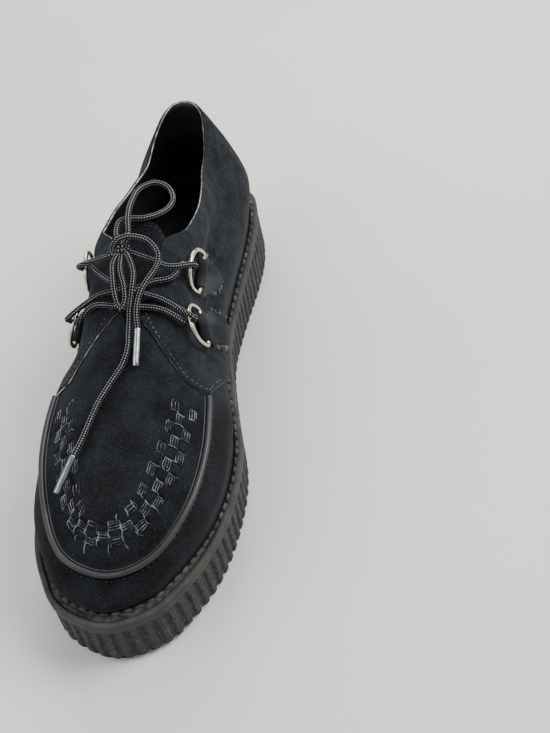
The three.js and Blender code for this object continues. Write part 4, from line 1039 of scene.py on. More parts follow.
def stitch_row(name, seams, pitch, length, width, material):
    """One mesh of stitches along several seams, each a list of points in millimetres."""
    curve = bpy.data.curves.new(name + "_seams", "CURVE")
    curve.dimensions = "3D"
    for seam in seams:
        line = curve.splines.new("POLY")
        line.points.add(len(seam) - 1)
        flat = np.hstack([to_row(seam), np.ones((len(seam), 1))])
        line.points.foreach_set("co", flat.ravel())
    seam_object = bpy.data.objects.new(name + "_seams", curve)
    bpy.context.scene.collection.objects.link(seam_object)
    modifier = seam_object.modifiers.new("stitches", "NODES")
    modifier.node_group = STITCH_TREE
    values = {
        "Pitch": pitch * MM, "Stitch Length": length * MM, "Stitch Width": width * MM,
        "Material": material,
    }
    for item in STITCH_TREE.interface.items_tree:
        if item.item_type == "SOCKET" and item.in_out == "INPUT" and item.name in values:
            modifier[item.identifier] = values[item.name]
    seam_object.data.update_tag()
    seen = bpy.context.evaluated_depsgraph_get()
    seen.update()
    mesh = bpy.data.meshes.new_from_object(seam_object.evaluated_get(seen), depsgraph=seen)
    mesh.name = name
    piece = bpy.data.objects.new(name, mesh)
    bpy.context.scene.collection.objects.link(piece)
    seam_object.modifiers.clear()
    bpy.data.objects.remove(seam_object)
    return piece


def place_piece(piece, slot, *nodes):
    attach(piece, "root")
    if nodes:
        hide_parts(*nodes)


# ---- Camera, light and floor

def make_camera():
    data = bpy.data.cameras.new("camera")
    data.sensor_width = SENSOR
    data.lens = FOCUS_IN_PIXELS / PICTURE_HEIGHT * SENSOR
    data.clip_end = 20
    camera = bpy.data.objects.new("camera", data)
    bpy.context.scene.collection.objects.link(camera)
    right, down, ahead = (Vector(v) for v in (CAMERA_RIGHT, CAMERA_DOWN, CAMERA_AHEAD))
    turn = Matrix((right, -down, -ahead)).transposed().to_4x4()
    place = (np.array(CAMERA_PLACE) - ORIGIN) * MM
    camera.matrix_world = Matrix.Translation(Vector(place)) @ turn
    bpy.context.scene.camera = camera


def soft_light(name, place, aim, size, power):
    data = bpy.data.lights.new(name, "AREA")
    data.shape = "DISK"
    data.size = size
    data.energy = power
    lamp = bpy.data.objects.new(name, data)
    bpy.context.scene.collection.objects.link(lamp)
    lamp.location = place
    lamp.rotation_euler = (Vector(aim) - Vector(place)).to_track_quat("-Z", "Y").to_euler()


def make_studio():
    soft_light("key", (-0.25, 0.85, 1.0), (0, 0, 0.05), 0.8, 26)
    soft_light("fill", (0.5, -0.8, 1.0), (0, 0, 0.05), 1.2, 12)
    soft_light("back", (-1.0, -0.2, 0.8), (0, 0, 0.06), 0.8, 12)
    world = bpy.data.worlds.new("studio")
    bpy.context.scene.world = world
    world.use_nodes = True
    sky = world.node_tree.nodes["Background"]
    sky.inputs["Color"].default_value = (0.9, 0.93, 1.0, 1)
    sky.inputs["Strength"].default_value = 0.65
    floor = make_mesh(
        "floor",
        [(-2500, -2500, 0), (2500, -2500, 0), (2500, 2500, 0), (-2500, 2500, 0)],
        [(0, 1, 2, 3)],
        [PALE_FLOOR],
        shade=False,
    )


# ---- Sole

def make_outsole():
    ribs = 2 * round(PERIMETER / RIB_PITCH / 2)
    columns = ribs * RIB_STEPS
    index = np.arange(columns)
    way = -1 + 2 * index / columns
    phase = (index / RIB_STEPS + 0.5) % 1
    from_groove = np.minimum(phase, 1 - phase)
    rim = rim_point(way)
    band = RIM_BAND * (0.72 + 0.28 * smooth(0.5, 0.9, np.abs(way)))
    under_rim = top_at(rim) - band
    floor_line = bottom_at(rim)
    points, land = [], []
    for share in np.arange(SIDE_ROWS) / (SIDE_ROWS - 1):
        arch = np.clip((share - GROOVE_ARCH) / (1 - GROOVE_ARCH), 0, 1)
        half = GROOVE_HALF * np.sqrt(np.maximum(0, 1 - arch ** 2)) + 0.001
        groove = GROOVE_SHARE * (1 - smooth(half - 0.04, half + 0.10, from_groove))
        groove = groove * (1 - smooth(0.97, 1.0, share))
        tuck = 0.7 * (1 - smooth(0, 0.05, share))
        depth = RIB_SETBACK + RIB_DEPTH * groove + tuck - (1 - share) * flare_at(way)
        ring = rim_inset(way, depth)
        ring[:, 2] = floor_line + share * (under_rim - 0.4 - floor_line)
        points.append(ring)
        land.append(1 - groove)
    for inset, drop in [(0.0, band - 0.3)] + RIM_PROFILE:
        ring = rim_inset(way, inset)
        ring[:, 2] = top_at(rim) - drop
        points.append(ring)
        land.append(np.zeros(columns))
    for inset in (RIM_LIP, RECESS_REACH):
        ring = rim_inset(way, inset)
        ring[:, 2] = top_at(ring) - WELT_RECESS
        points.append(ring)
        land.append(np.zeros(columns))
    side = grid_faces(len(points), columns, close_columns=True)
    plates = crosswise(columns, (len(points) - 1) * columns)
    ribbed = (SIDE_ROWS - 1) * columns
    slots = [0] * ribbed + [1] * (len(side) - ribbed + len(plates))
    sole = make_mesh(
        "ribbed_sole", np.concatenate(points), np.concatenate([side, plates]),
        [RUBBER_RIBS_SHADED, RUBBER], slots, land=np.array(land),
    )
    place_piece(sole, "sole_rubber", "outsole")


def make_welt():
    columns = 720
    way = -1 + 2 * np.arange(columns) / columns
    rough = np.sin(np.arange(columns) * 1.7) * 0.12 + np.sin(np.arange(columns) * 0.61) * 0.1
    outer = RIM_LIP + CLEARANCE
    inner = ledge_at(way) - WELT_GAP
    profile = [
        (outer, 0.0),
        (outer, 0.8),
        (outer + 0.12, 1.1 + 0.3 * rough),
        (0.5 * (outer + inner), WELT_THICKNESS - 0.1 + rough),
        (inner, WELT_THICKNESS),
        (inner, 0.0),
    ]
    points = []
    for inset, rise in profile:
        ring = rim_inset(way, inset)
        ring[:, 2] = top_at(ring) - WELT_RECESS + CLEARANCE + rise
        points.append(ring)
    faces = grid_faces(len(points), columns, close_rows=True, close_columns=True)
    welt = make_mesh("welt_strip", np.concatenate(points), faces, [RUBBER_WELT])
    place_piece(welt, "welt_rubber", "welt")
    seam_way = -1 + 2 * np.arange(900) / 900
    seam = rim_inset(seam_way, ledge_at(seam_way) - 1.7)
    seam[:, 2] = top_at(seam) - WELT_RECESS + CLEARANCE + WELT_THICKNESS - 0.15
    seam = np.vstack([seam, seam[:1]])
    stitches = stitch_row("welt_stitches", [seam], 5.4, 4.7, 2.2, RUBBER_STITCH)
    place_piece(stitches, "welt_rubber")


def make_insole():
    columns = 240
    way = -1 + 2 * np.arange(columns) / columns
    rings = []
    for extra, rise in ((0, CLEARANCE), (0, INSOLE - 0.8), (0.7, INSOLE)):
        ring = rim_inset(way, ledge_at(way) + WALL + 2 * CLEARANCE + extra)
        ring[:, 2] = top_at(ring) - WELT_RECESS + rise
        rings.append(ring)
    faces = np.concatenate([
        grid_faces(3, columns, close_columns=True), crosswise(columns, 2 * columns),
    ])
    insole = make_mesh("footbed", np.concatenate(rings), faces, [INSOLE_LEATHER])
    place_piece(insole, "lining", "insole")


# ---- Upper

# Creases worn into the leather: start and end as way and height, depth and width in mm.
CREASES = [
    ((0.60, 0.80), (0.66, 0.64), -0.35, 4.0),
    ((0.64, 0.90), (0.70, 0.76), -0.3, 4.5),
    ((-0.60, 0.78), (-0.66, 0.64), -0.35, 4.0),
    ((-0.64, 0.90), (-0.70, 0.78), -0.3, 4.5),
    ((0.30, 0.80), (0.36, 0.45), -0.45, 7.0),
    ((0.23, 0.80), (0.27, 0.40), -0.4, 7.0),
    ((-0.30, 0.80), (-0.36, 0.45), -0.5, 7.0),
    ((-0.21, 0.80), (-0.25, 0.40), -0.45, 7.0),
    ((0.12, 0.75), (0.16, 0.35), -0.4, 7.0),
    ((-0.10, 0.75), (-0.15, 0.35), -0.4, 7.0),
    ((0.46, 0.50), (0.55, 0.38), -0.4, 5.0),
    ((-0.46, 0.50), (-0.55, 0.38), -0.4, 5.0),
]
# Gathers in the apron below the weave at the toe, in the same columns.
GATHERS = [
    ((0.928, 0.650), (0.924, 0.585), 0.45, 1.1),
    ((0.970, 0.645), (0.972, 0.568), 0.5, 1.1),
    ((0.895, 0.640), (0.885, 0.600), 0.35, 1.0),
    ((-0.958, 0.635), (-0.954, 0.565), 0.5, 1.1),
    ((-0.925, 0.640), (-0.918, 0.595), 0.35, 1.0),
]


CREASE_STEPS = 6


def crease_relief(points):
    """Height of the creases and gathers at surface points, in mm."""
    relief = np.zeros(points.shape[:-1])
    for start, end, depth, width in CREASES + GATHERS:
        share = np.linspace(0, 1, CREASE_STEPS + 1)
        bow = 0.008 * np.sin(math.pi * share)
        way = start[0] + (end[0] - start[0]) * share + bow
        height = start[1] + (end[1] - start[1]) * share
        line = skin(way, height)
        nearest = np.full(points.shape[:-1], 1e9)
        fade = np.zeros(points.shape[:-1])
        for k in range(CREASE_STEPS):
            a, b = line[k], line[k + 1]
            run = b - a
            t = np.clip(((points - a) @ run) / (run @ run), 0, 1)
            away = np.linalg.norm(points - (a + t[..., None] * run), axis=-1)
            closer = away < nearest
            nearest = np.where(closer, away, nearest)
            reached = np.clip((k + t) / CREASE_STEPS, 0.02, 0.98)
            fade = np.where(closer, np.sin(math.pi * reached) ** 0.7, fade)
        relief += depth * fade * np.exp(-(nearest / width) ** 2)
    return relief


def soft_waves(points):
    """The leather's own slight unevenness, a few tenths of a millimetre."""
    x, y, z = points[..., 0], points[..., 1], points[..., 2]
    return (
        0.16 * np.sin(x / 9.1 + 1.3 * np.sin(z / 13))
        + 0.13 * np.sin(y / 7.3 + x / 21 + 1)
        + 0.10 * np.sin(z / 6.1 + x / 15 + 2)
    )


def upper_ways():
    back = np.concatenate([np.linspace(0, THROAT, 209), np.linspace(THROAT, 0.6, 12)[1:]])
    front = np.linspace(0.6, 1, 200)[1:]
    inner = np.concatenate([back, front])
    return np.concatenate([-inner[::-1][:-1], inner[:-1]])


def upper_relief(way, height, points):
    """Height of the worn leather over the plain wall, in mm."""
    place = np.abs(way)
    edge = (1 - height) * 45
    quiet = np.where(place < THROAT, smooth(0, 5, edge), 1) * smooth(0.0, 0.08, height)
    relief = (crease_relief(points) + soft_waves(points)) * quiet
    front = smooth(0.60, 0.64, place)
    relief -= 0.45 * front * np.exp(-((height - 0.535) / 0.009) ** 2)
    relief -= 0.35 * front * np.exp(-((height - 0.47) / 0.012) ** 2)
    roll = np.where(place < THROAT, np.maximum(0, 1 - edge / 0.8), 0)
    relief -= 0.35 * roll ** 2
    relief -= 0.5 * np.exp(-(way * SIDE_RUN / 0.7) ** 2)
    return relief


def make_upper():
    ways = upper_ways()
    heights = np.concatenate([
        np.linspace(0, 0.46, 28), np.linspace(0.47, 0.54, 10), np.linspace(0.55, 1, 50),
    ])
    way, height = np.meshgrid(ways, heights)
    plain = skin(way, height)
    outer = plain + skin_normal(way, height) * upper_relief(way, height, plain)[..., None]
    # Brushed nap behind the quarters' front edge, less towards the toe: paler suede that is partly
    # painted light.
    brushed = 1 - smooth(0.0, 0.06, np.abs(way) - lap_edge(height))
    brushed *= 0.35 + 0.65 * smooth(0.2, 0.45, 1 - np.abs(way))
    coarse = np.linspace(0, 1, 17)
    inner_way, inner_height = np.meshgrid(ways, coarse)
    inner = skin_offset(inner_way, inner_height, np.full(inner_way.shape, -WALL))
    columns = len(ways)
    rows = len(heights)
    middle = [outer[-1] * (1 - t) + inner[-1] * t for t in (0.42, 0.72)]
    points = np.concatenate([outer.reshape(-1, 3), inner.reshape(-1, 3)] + middle)
    outside = grid_faces(rows, columns, close_columns=True)
    start = rows * columns
    inside = grid_faces(len(coarse), columns, start, close_columns=True)[:, ::-1]
    foot = grid_faces(2, columns, close_columns=True)
    foot = np.where(foot >= columns, foot - columns, foot + start)
    last = (rows - 1) * columns
    extra = start + len(coarse) * columns
    levels = [last, extra, extra + columns, start + (len(coarse) - 1) * columns]
    opening = np.abs(ways) < THROAT + 1e-6
    keep = opening & np.roll(opening, -1)
    undyed = (np.abs(ways) < 0.435) | (ways < -0.35) & (ways > -0.50)
    rim, rim_slots = [], []
    for k in range(3):
        for j in np.nonzero(keep)[0]:
            n = (j + 1) % columns
            rim.append((levels[k] + j, levels[k + 1] + j, levels[k + 1] + n, levels[k] + n))
            rim_slots.append((0, 2 if undyed[j] else 3, 1)[k])
    faces = np.concatenate([outside, inside, foot, np.array(rim)])
    slots = [0] * len(outside) + [1] * (len(inside) + len(foot)) + rim_slots
    # These values on the upper's points lay down the brushed nap and the painted light of the
    # quarters.
    worn = np.zeros(len(points))
    worn[:rows * columns] = brushed.ravel()
    upper = make_mesh(
        "suede_upper", points, faces, [SUEDE, LINING, RAW_EDGE, WORN_EDGE], slots, brushed=worn,
    )
    weld(upper)
    place_piece(upper, "suede", "upper")


def make_lap(side, name):
    rows, columns, stitched_rows = 90, 26, 62
    height = np.linspace(LAP_EDGE[0][0], LAP_EDGE[-1][0], rows)
    share = np.linspace(0, 1, columns) ** 1.6
    back = share * LAP_FADE
    wobble = 0.25 * np.sin(height * 47) + 0.15 * np.sin(height * 111 + side)
    grid_height, grid_back = np.meshgrid(height, back, indexing="ij")
    set_back = grid_back + wobble[:, None] * (1 - share)
    way = side * (lap_edge(grid_height) - set_back / SIDE_RUN)
    rise = LAP_STEP * (1 - smooth(0.35, 1.0, share)) - 0.25 * smooth(0.7, 1.0, share)
    rise = rise - 0.45 * np.exp(-back / 0.35)
    seam = 0.25 * np.exp(-((back - 3.3) / 0.5) ** 2)
    ground = skin(way, grid_height)
    waves = soft_waves(ground) + crease_relief(ground)
    high = skin_offset(way, grid_height, rise[None, :] - seam[None, :] + waves)
    low = skin_offset(way, grid_height, np.full(way.shape, -0.6 * WALL))
    # The quarters' front pieces carry brushed nap and painted light at 0.8.
    lap = slab_piece(name, low, high, [SUEDE], brushed=np.full(way.shape, 0.8))
    place_piece(lap, "suede")
    edge_way = side * (lap_edge(height) - (0.1 + wobble) / SIDE_RUN)
    lip = skin_offset(edge_way, height, np.full(rows, LAP_STEP * 0.62))
    trim = make_mesh(name + "_raw_edge", *rod(lip, 0.26, 6), [WORN_EDGE if side > 0 else RAW_EDGE])
    place_piece(trim, "suede")
    seams = []
    for distance in (3.3, 1.3):
        at = side * (lap_edge(height) - distance / SIDE_RUN)
        seams.append(skin_offset(at, height, np.full(rows, LAP_STEP))[:stitched_rows])
    return seams


def make_laps():
    seams = make_lap(1, "inner_quarter_front") + make_lap(-1, "outer_quarter_front")
    main = stitch_row("quarter_stitches", seams[::2], 2.7, 1.7, 0.5, THREAD)
    place_piece(main, "suede")
    edge = stitch_row("quarter_edge_stitches", seams[1::2], 2.7, 1.5, 0.4, DARK_THREAD)
    place_piece(edge, "suede")


def weave_places():
    """Ways of the woven cells round the apron, an even half pitch apart along the middle row."""
    spread = np.linspace(WEAVE_START, 2 - WEAVE_START, 1201)
    run = walked(skin(wrap(spread), weave_row(1)(wrap(spread))))
    steps = 2 * (2 * round((run[-1] / WEAVE_PITCH - 1) / 2) + 1)
    return wrap(np.interp(np.linspace(0, run[-1], steps + 1), run, spread))


def weave_row(row):
    return even_graph(WEAVE_ROWS, row + 1)


def patch(way, height, half_run, half_rise, lift, rows=9, columns=9):
    """A grid of surface points round a place, raised by a function of its own place."""
    along, up = directions(way, height)
    u, v = np.meshgrid(np.linspace(-1, 1, columns), np.linspace(-1, 1, rows))
    at_way = way + u * half_run / np.linalg.norm(along)
    at_height = height + v * half_rise / np.linalg.norm(up)
    high = skin_offset(at_way, at_height, lift(u, v))
    low = skin_offset(at_way, at_height, np.full(u.shape, -0.5))
    return low, high


def join_slabs(name, sheets, material):
    """One mesh of many small closed sheets, each a pair of grids."""
    return make_mesh(name, *joined(slab(low, high)[:2] for low, high in sheets), [material])


def join_threads(name, threads, material, sides=5):
    """One mesh of many thin bars, each a list of points and a radius."""
    return make_mesh(name, *joined(rod(line, radius, sides) for line, radius in threads), [material])


def block_threads(rng, way, height, run, rise, lanes):
    """Rubbed edge round a woven block, and the pale lines along its top: paler partly from rubbing
    and partly as painted highlight.
    """
    half_cell = WEAVE_PITCH / 4
    corners = 16
    turn = np.linspace(0, 2 * math.pi, corners + 1)[:-1] + 0.3 * rng.random()
    square = np.maximum(np.abs(np.cos(turn)), np.abs(np.sin(turn))) ** 0.85
    wiggle = 0.07 * rng.standard_normal(corners)
    outline = skin_offset(
        way + (half_cell * np.cos(turn) / square + wiggle) / run,
        height + (1.85 * np.sin(turn) / square + wiggle[::-1]) / rise,
        np.full(corners, 0.34),
    )
    outline = outline[:corners - int(5 * rng.random())]
    threads = [(outline, 0.13 + 0.05 * rng.random())]
    for lane in lanes:
        share = np.linspace(-0.7, 0.7, 7)
        line = skin_offset(
            way + share * half_cell / run,
            height + (lane * 0.65 + 0.08 * rng.standard_normal()) / rise,
            0.60 - 0.3 * share ** 4,
        )
        threads.append((line, 0.16 + 0.05 * rng.random()))
    return threads


def make_weave():
    """Slits cut the apron into strips, and three rows of leather weave over and under them."""
    rng = np.random.default_rng(7)
    half_cell = WEAVE_PITCH / 4
    pads, blocks, threads = [], [], []
    for i, way in enumerate(map(float, weave_places())):
        for row in range(3):
            height = float(weave_row(row)(way))
            along, up = directions(way, height)
            rise, run = np.linalg.norm(up), np.linalg.norm(along)
            puff = 1 + 0.15 * rng.standard_normal()
            if (i + row) % 2:
                def lift(u, v):
                    round_off = np.maximum(0, 1 - u ** 4) * np.maximum(0, 1 - v ** 2)
                    return 0.85 * puff * round_off ** 0.6 - 0.15
                pads.append(patch(way, height, half_cell * 0.92, 1.9, lift))
            else:
                def lift(u, v):
                    round_off = np.maximum(0, 1 - u ** 6) * np.maximum(0, 1 - v ** 4)
                    return 0.75 * round_off ** 0.5 - 0.15
                blocks.append(patch(way, height, half_cell * 0.95, 1.8, lift))
                lanes = (-1, 1) if puff > 0.95 else (0.2,)
                threads += block_threads(rng, way, height, run, rise, lanes)
            if rng.random() < 0.85:
                share = np.linspace(-1, 1, 7)
                reach = 1.8 + 0.8 * rng.random()
                bow = (1 if (i + row) % 2 else -1) * 0.55 * (1 - share ** 2)
                line = skin_offset(
                    way + (half_cell + bow) / run, height + share * reach / rise,
                    0.42 - 0.3 * share ** 4,
                )
                threads.append((line, 0.19 + 0.07 * rng.random()))
    # Pale threads on the crests of the gathers: painted highlight, partly rubbed nap.
    for start, end, *_ in GATHERS:
        share = np.linspace(0, 1, 9)
        line = skin_offset(
            start[0] + (end[0] - start[0]) * share + 0.004 * np.sin(math.pi * share),
            start[1] + (end[1] - start[1]) * share,
            0.5 * np.sin(math.pi * share) - 0.05,
        )
        threads.append((line, 0.2))
    place_piece(join_slabs("woven_apron_pads", pads, SUEDE), "suede")
    place_piece(join_slabs("woven_lacing_blocks", blocks, SUEDE), "suede")
    place_piece(join_threads("woven_edge_and_highlight_threads", threads, WOVEN_EDGE_AND_HIGHLIGHT), "suede")


def make_piping():
    steps = 420
    place = wrap(np.linspace(PIPING_START - 0.008, 2 - PIPING_START + 0.008, steps))
    tube, flange, seam = (
        skin_offset(place, np.full(steps, height), np.full(steps, lift))
        for height, lift in ((0.5, PIPING / 2 - 0.25), (0.516, 0.2), (0.45, 0.05))
    )
    parts = [rod(tube, PIPING / 2, 16), rod(flange, 0.45, 8)]
    piping = make_mesh("leather_piping", *joined(parts), [SMOOTH_LEATHER])
    place_piece(piping, "smooth_leather", "piping")
    stitches = stitch_row("piping_stitches", [seam], 2.9, 1.9, 0.45, DARK_THREAD)
    place_piece(stitches, "smooth_leather")


# ---- Tongue

def make_tongue():
    under = -(WALL + 2 * CLEARANCE)
    ways = np.concatenate([np.linspace(0.612, THROAT, 8), np.linspace(THROAT, 0.453, 22)[1:]])
    shares = np.linspace(-1, 1, 33)
    rows = []
    for way in ways:
        def edge(side, height):
            return skin_offset(np.array([side * way]), np.array([height]), np.array([under]))[0]
        a, b = edge(1, 1.0), edge(-1, 1.0)
        gap = np.linalg.norm(a - b)
        centre = (a + b) / 2
        centre[2] += 0.1 * gap
        out_a, out_b = edge(1, 1 - TONGUE_LAP), edge(-1, 1 - TONGUE_LAP)
        if gap < 1:
            side = np.where(shares < 0, -1.0, 1.0)
            sunk = np.full(shares.shape, under)
            row = skin_offset(side * way, 1 - TONGUE_LAP * np.abs(shares), sunk)
            row[len(shares) // 2] = centre
        else:
            row = catmull([out_b, b, centre, a, out_a], (shares + 1) / 2)
        rows.append(row)
    last = rows[-1]
    lift = np.array([-0.8, 0, 0.6]) * TONGUE_RISE
    for share in np.linspace(0, 1, 12)[1:]:
        corner = 1 - 0.3 * np.abs(shares) ** 3 * smooth(0.5, 1, share)
        row = last + lift * (share * corner)[:, None]
        narrowing = 0.12 * smooth(0, 0.5, share) + 0.06 * share
        row[:, 1] -= narrowing * (row[:, 1] - last[len(shares) // 2, 1])
        row[:, 2] += 1.5 * np.abs(shares) ** 3 * smooth(0, 0.5, share)
        rows.append(row)
    grid = np.array(rows)
    along = np.gradient(grid, axis=0)
    over = np.gradient(grid, axis=1)
    normal = unit(np.cross(along, over))
    normal = np.where(normal[..., 2:] < 0, -normal, normal)
    high = grid + normal * (0.15 * np.sin(grid[..., 0] / 4 + grid[..., 1] / 5))[..., None]
    low = grid - normal * TONGUE
    tongue = slab_piece("suede_tongue", low, high, [SUEDE, LINING, WORN_EDGE], (0, 1, 2))
    place_piece(tongue, "suede", "tongue")
    return grid[-3] + normal[-3] * 0.1


# ---- Rings and tabs

def ring_frame(row, side):
    _, turn, height, lean = row
    way = np.array([side * turn])
    high = np.array([height])
    lift = CLEARANCE + TAB_SKIN + RING_WIRE / 2 + CLEARANCE
    bend = RING_WIRE / 2 + CLEARANCE + LACE / 2
    bar = skin_offset(way, high, np.array([lift]))[0]
    tip_way, tip_height = wander(way, high, lean, np.array([RING_DEPTH - RING_WIRE]))
    far = skin_offset(tip_way, tip_height, np.array([bend + LACE / 2 + 1.5 * CLEARANCE]))[0]
    out = unit(far - bar)

    def beside(reach):
        w, h = wander(way, high, lean + math.pi / 2, np.array([reach]))
        return skin_offset(w, h, np.array([lift]))[0]

    across = beside(RING_WIDTH / 2) - beside(-RING_WIDTH / 2)
    across = unit(across - out * np.dot(across, out))
    top = unit(np.cross(out, across))
    if np.dot(top, skin_normal(way, high)[0]) < 0:
        top = -top
    return bar, out, across, top, bar + out * (RING_DEPTH - RING_WIRE)


def make_ring(row, side, label):
    bar, out, across, _, _ = ring_frame(row, side)
    reach = (RING_WIDTH - RING_WIRE) / 2
    leg = RING_DEPTH - RING_WIRE - reach
    corner = RING_CORNER
    flat = [
        (0, 0), (reach - 1.6 * corner, 0), (reach - 0.3 * corner, 0.3 * corner),
        (reach, 1.5 * corner),
    ]
    for i in range(9):
        angle = math.pi * i / 8
        flat.append((reach * math.cos(angle), leg + reach * math.sin(angle)))
    flat += [(-reach, 1.5 * corner), (0.3 * corner - reach, 0.3 * corner), (1.6 * corner - reach, 0)]
    points = np.array([bar + across * x + out * y for x, y in flat])
    line = even_path(points, 0.7, closed=True)
    mesh_points, faces = sweep(line, RING_WIRE / 2, 14, closed=True)
    ring = make_mesh(f"ring_{label}_{row[0]}_metal", mesh_points, faces, [NICKEL])
    place_piece(ring, "nickel", f"ring_{label}_{row[0]}")


def make_tab(row, side, label):
    _, turn, height, lean = row
    bar, _, across, _, _ = ring_frame(row, side)
    rows, columns = 30, 17
    share = np.linspace(0, 1, rows)
    column = np.linspace(-1, 1, columns)
    spine_way, spine_height = wander(
        np.full(rows, side * turn), np.full(rows, height), lean + math.pi, share * TAB_LENGTH
    )
    end = np.where(share > 0.6, np.sqrt(np.maximum(0.12, 1 - ((share - 0.6) / 0.4) ** 2)), 1)
    width = (TAB_NECK + (TAB_WIDTH - TAB_NECK) * smooth(0.05, 0.3, share)) * end
    fray = 0.25 * np.sin(share * 60 + turn * 90)
    reach = column * (width[:, None] / 2 + fray[:, None] * np.abs(column) ** 4)
    at_way, at_height = wander(
        np.repeat(spine_way[:, None], columns, 1), np.repeat(spine_height[:, None], columns, 1),
        lean + math.pi / 2, reach,
    )
    rim = np.maximum(np.abs(column) ** 8, smooth(0.93, 1.0, share)[:, None])
    thick = TAB_THICKNESS * (0.95 - 0.35 * rim) + CLEARANCE
    thick = thick + 0.12 * np.sin(share * 9)[:, None] * (1 - rim)
    dip = 0.3 * np.exp(-((np.abs(column) - 0.78) / 0.07) ** 2)
    dip = dip * smooth(0.12, 0.2, share)[:, None]
    high = skin_offset(at_way, at_height, thick - dip)
    low = skin_offset(at_way, at_height, np.full(thick.shape, CLEARANCE))
    node = f"tab_{label}_{row[0]}"
    tab = slab_piece(node + "_suede", low, high, [SUEDE_TAB, SUEDE_TAB, WORN_EDGE], (0, 1, 2))
    place_piece(tab, "suede", node)
    steps = np.linspace(-1, 1, 24)
    fold_line = bar + across * (steps * TAB_NECK / 2)[:, None]
    fold_radius = (RING_WIRE / 2 + CLEARANCE + TAB_SKIN) * (1 - 0.12 * np.abs(steps) ** 6)
    fold = make_mesh(node + "_fold", *rod(fold_line, fold_radius[:, None], 28), [SUEDE_TAB])
    place_piece(fold, "suede")
    hairs = frayed_hairs(high, np.random.default_rng(int(1000 * turn) + side))
    place_piece(join_threads(node + "_frayed_edge", hairs, FRAYED_NAP, sides=4), "suede")
    seams = []
    for j in (2, columns - 3):
        run = slice(4, 26)
        lift = thick[run, j] - dip[run, j] + 0.05
        seams.append(skin_offset(at_way[run, j], at_height[run, j], lift))
    return seams


def frayed_hairs(sheet, rng, count=60):
    """Loose fibres at the two long edges of a tab, most of them at the front one."""
    rows, columns = sheet.shape[:2]
    hairs = []
    for _ in range(count):
        k = rng.integers(6, rows - 1)
        j = 0 if rng.random() < 0.35 else columns - 1
        root = sheet[k, j]
        drift = unit(root - sheet[k, columns // 2] + 2.5 * rng.standard_normal(3))
        reach = 0.8 + 1.6 * rng.random()
        bend = 0.35 * rng.standard_normal(3)
        line = np.array([root + drift * reach * t + bend * t * t for t in (-0.2, 0.2, 0.6, 1.0)])
        hairs.append((line, 0.09))
    return hairs


# ---- Laces

# Direction that the first row of the braid is led towards, so that cords don't twist.
BRAID_LEAD = np.array([0.25, 0.1, 0.95])


def lace_mesh(name, *paths, sides=12, step=0.5):
    """Round cords along paths as one mesh, whose UV map holds turns round and metres along."""
    cords, corners = [], []
    for path in paths:
        line = even_path(path, step)
        run = walked(line) * MM
        cords.append(rod(line, LACE / 2, sides, lead=BRAID_LEAD))
        i, j = np.meshgrid(np.arange(len(line) - 1), np.arange(sides), indexing="ij")
        turns = np.stack([j, j, j + 1, j + 1], axis=-1) / sides
        metres = run[np.stack([i, i + 1, i + 1, i], axis=-1)]
        corners.append(np.stack([turns, metres], axis=-1).reshape(-1, 2))
        corners.append(np.zeros((3 * 2 * sides, 2)))
    cord = make_mesh(name, *joined(cords), [LACE_CORD])
    layer = cord.data.uv_layers.new(name="turns_and_metres")
    layer.data.foreach_set("uv", np.concatenate(corners).astype(np.float32).ravel())
    return cord, line


def ring_turn(row, side):
    _, out, _, top, tip = ring_frame(row, side)
    bend = RING_WIRE / 2 + CLEARANCE + LACE / 2
    places = (
        (LACE, bend), (-0.2 * LACE, 0.97 * bend), (-1.05 * bend, 0),
        (-0.2 * LACE, -0.97 * bend), (LACE, -bend),
    )
    return [tip + out * forward + top * up for forward, up in places]


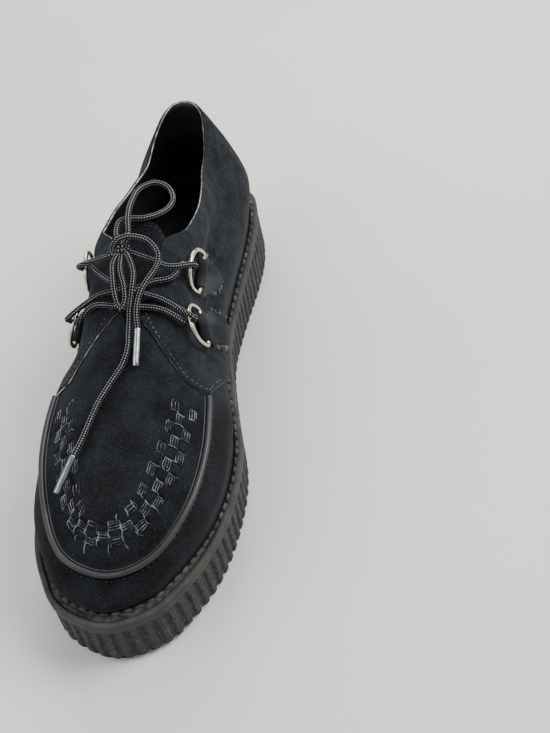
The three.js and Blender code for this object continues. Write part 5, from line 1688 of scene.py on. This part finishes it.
def make_laces():
    upper, lower = RINGS
    knot = deck(KNOT)[0]
    points = [knot] + list(deck(KNOT_TO_INNER)) + ring_turn(upper, 1)
    points += list(deck(CROSS_UNDER)) + ring_turn(lower, -1)
    points += list(deck(BAR)) + ring_turn(lower, 1)[::-1]
    points += list(deck(CROSS_OVER))[::-1] + ring_turn(upper, -1)[::-1]
    points += list(deck(KNOT_TO_OUTER))[::-1] + [knot]
    run, _ = lace_mesh("lace_through_rings", points)
    place_piece(run, "lace", "lace_crossings")
    turn = np.linspace(0, 2 * math.pi, 9)
    wraps = []
    for tilt, size, shift in ((0.2, 0.80, -1.5), (-0.3, 0.78, 1.3), (1.3, 0.66, 0.0)):
        wraps.append(knot + np.stack([
            KNOT_SIZE * 0.62 * size * np.cos(turn),
            KNOT_SIZE * 0.8 * size * np.sin(turn) * math.sin(tilt) + shift,
            KNOT_SIZE * 0.72 * size * np.sin(turn) * math.cos(tilt),
        ], axis=-1))
    knot_piece, _ = lace_mesh("lace_bow_knot", *wraps)
    place_piece(knot_piece, "lace", "lace_knot")
    for name, rows, aglet in (
        ("lace_loop_up", LOOP_UP, None), ("lace_loop_down", LOOP_DOWN, None),
        ("lace_end_short", END_SHORT, AGLET_SHORT), ("lace_end_long", END_LONG, AGLET_LONG),
    ):
        points = [knot] + list(deck(rows)) + ([knot] if aglet is None else [])
        cord, line = lace_mesh(name + "_cord", points)
        place_piece(cord, "lace", name)
        path = line[::4] if len(line) % 4 == 1 else np.vstack([line[::4], line[-1:]])
        path = to_row(path)
        if aglet is not None:
            last = line[-1]
            run = unit(deck(aglet)[0] - last)
            tip = np.array([last + run * place for place, _ in AGLET_PROFILE])
            radii = AGLET / 2 * np.array([[share] for _, share in AGLET_PROFILE])
            node = name.replace("lace_end", "aglet")
            metal = make_mesh(node + "_metal", *rod(tip, radii, 16), [TIP_METAL])
            place_piece(metal, "aglet_metal", node)


make_camera()
make_studio()
make_laces()
make_outsole()
make_welt()
make_insole()
make_upper()
make_laps()
make_weave()
make_piping()
seams = [make_tongue()]
for ring_side, ring_label in ((1, "inner"), (-1, "outer")):
    for ring_row in RINGS:
        make_ring(ring_row, ring_side, ring_label)
        seams += make_tab(ring_row, ring_side, ring_label)
tab_stitches = stitch_row("tab_and_tongue_stitches", seams, 2.6, 1.6, 0.45, DARK_THREAD)
place_piece(tab_stitches, "suede")
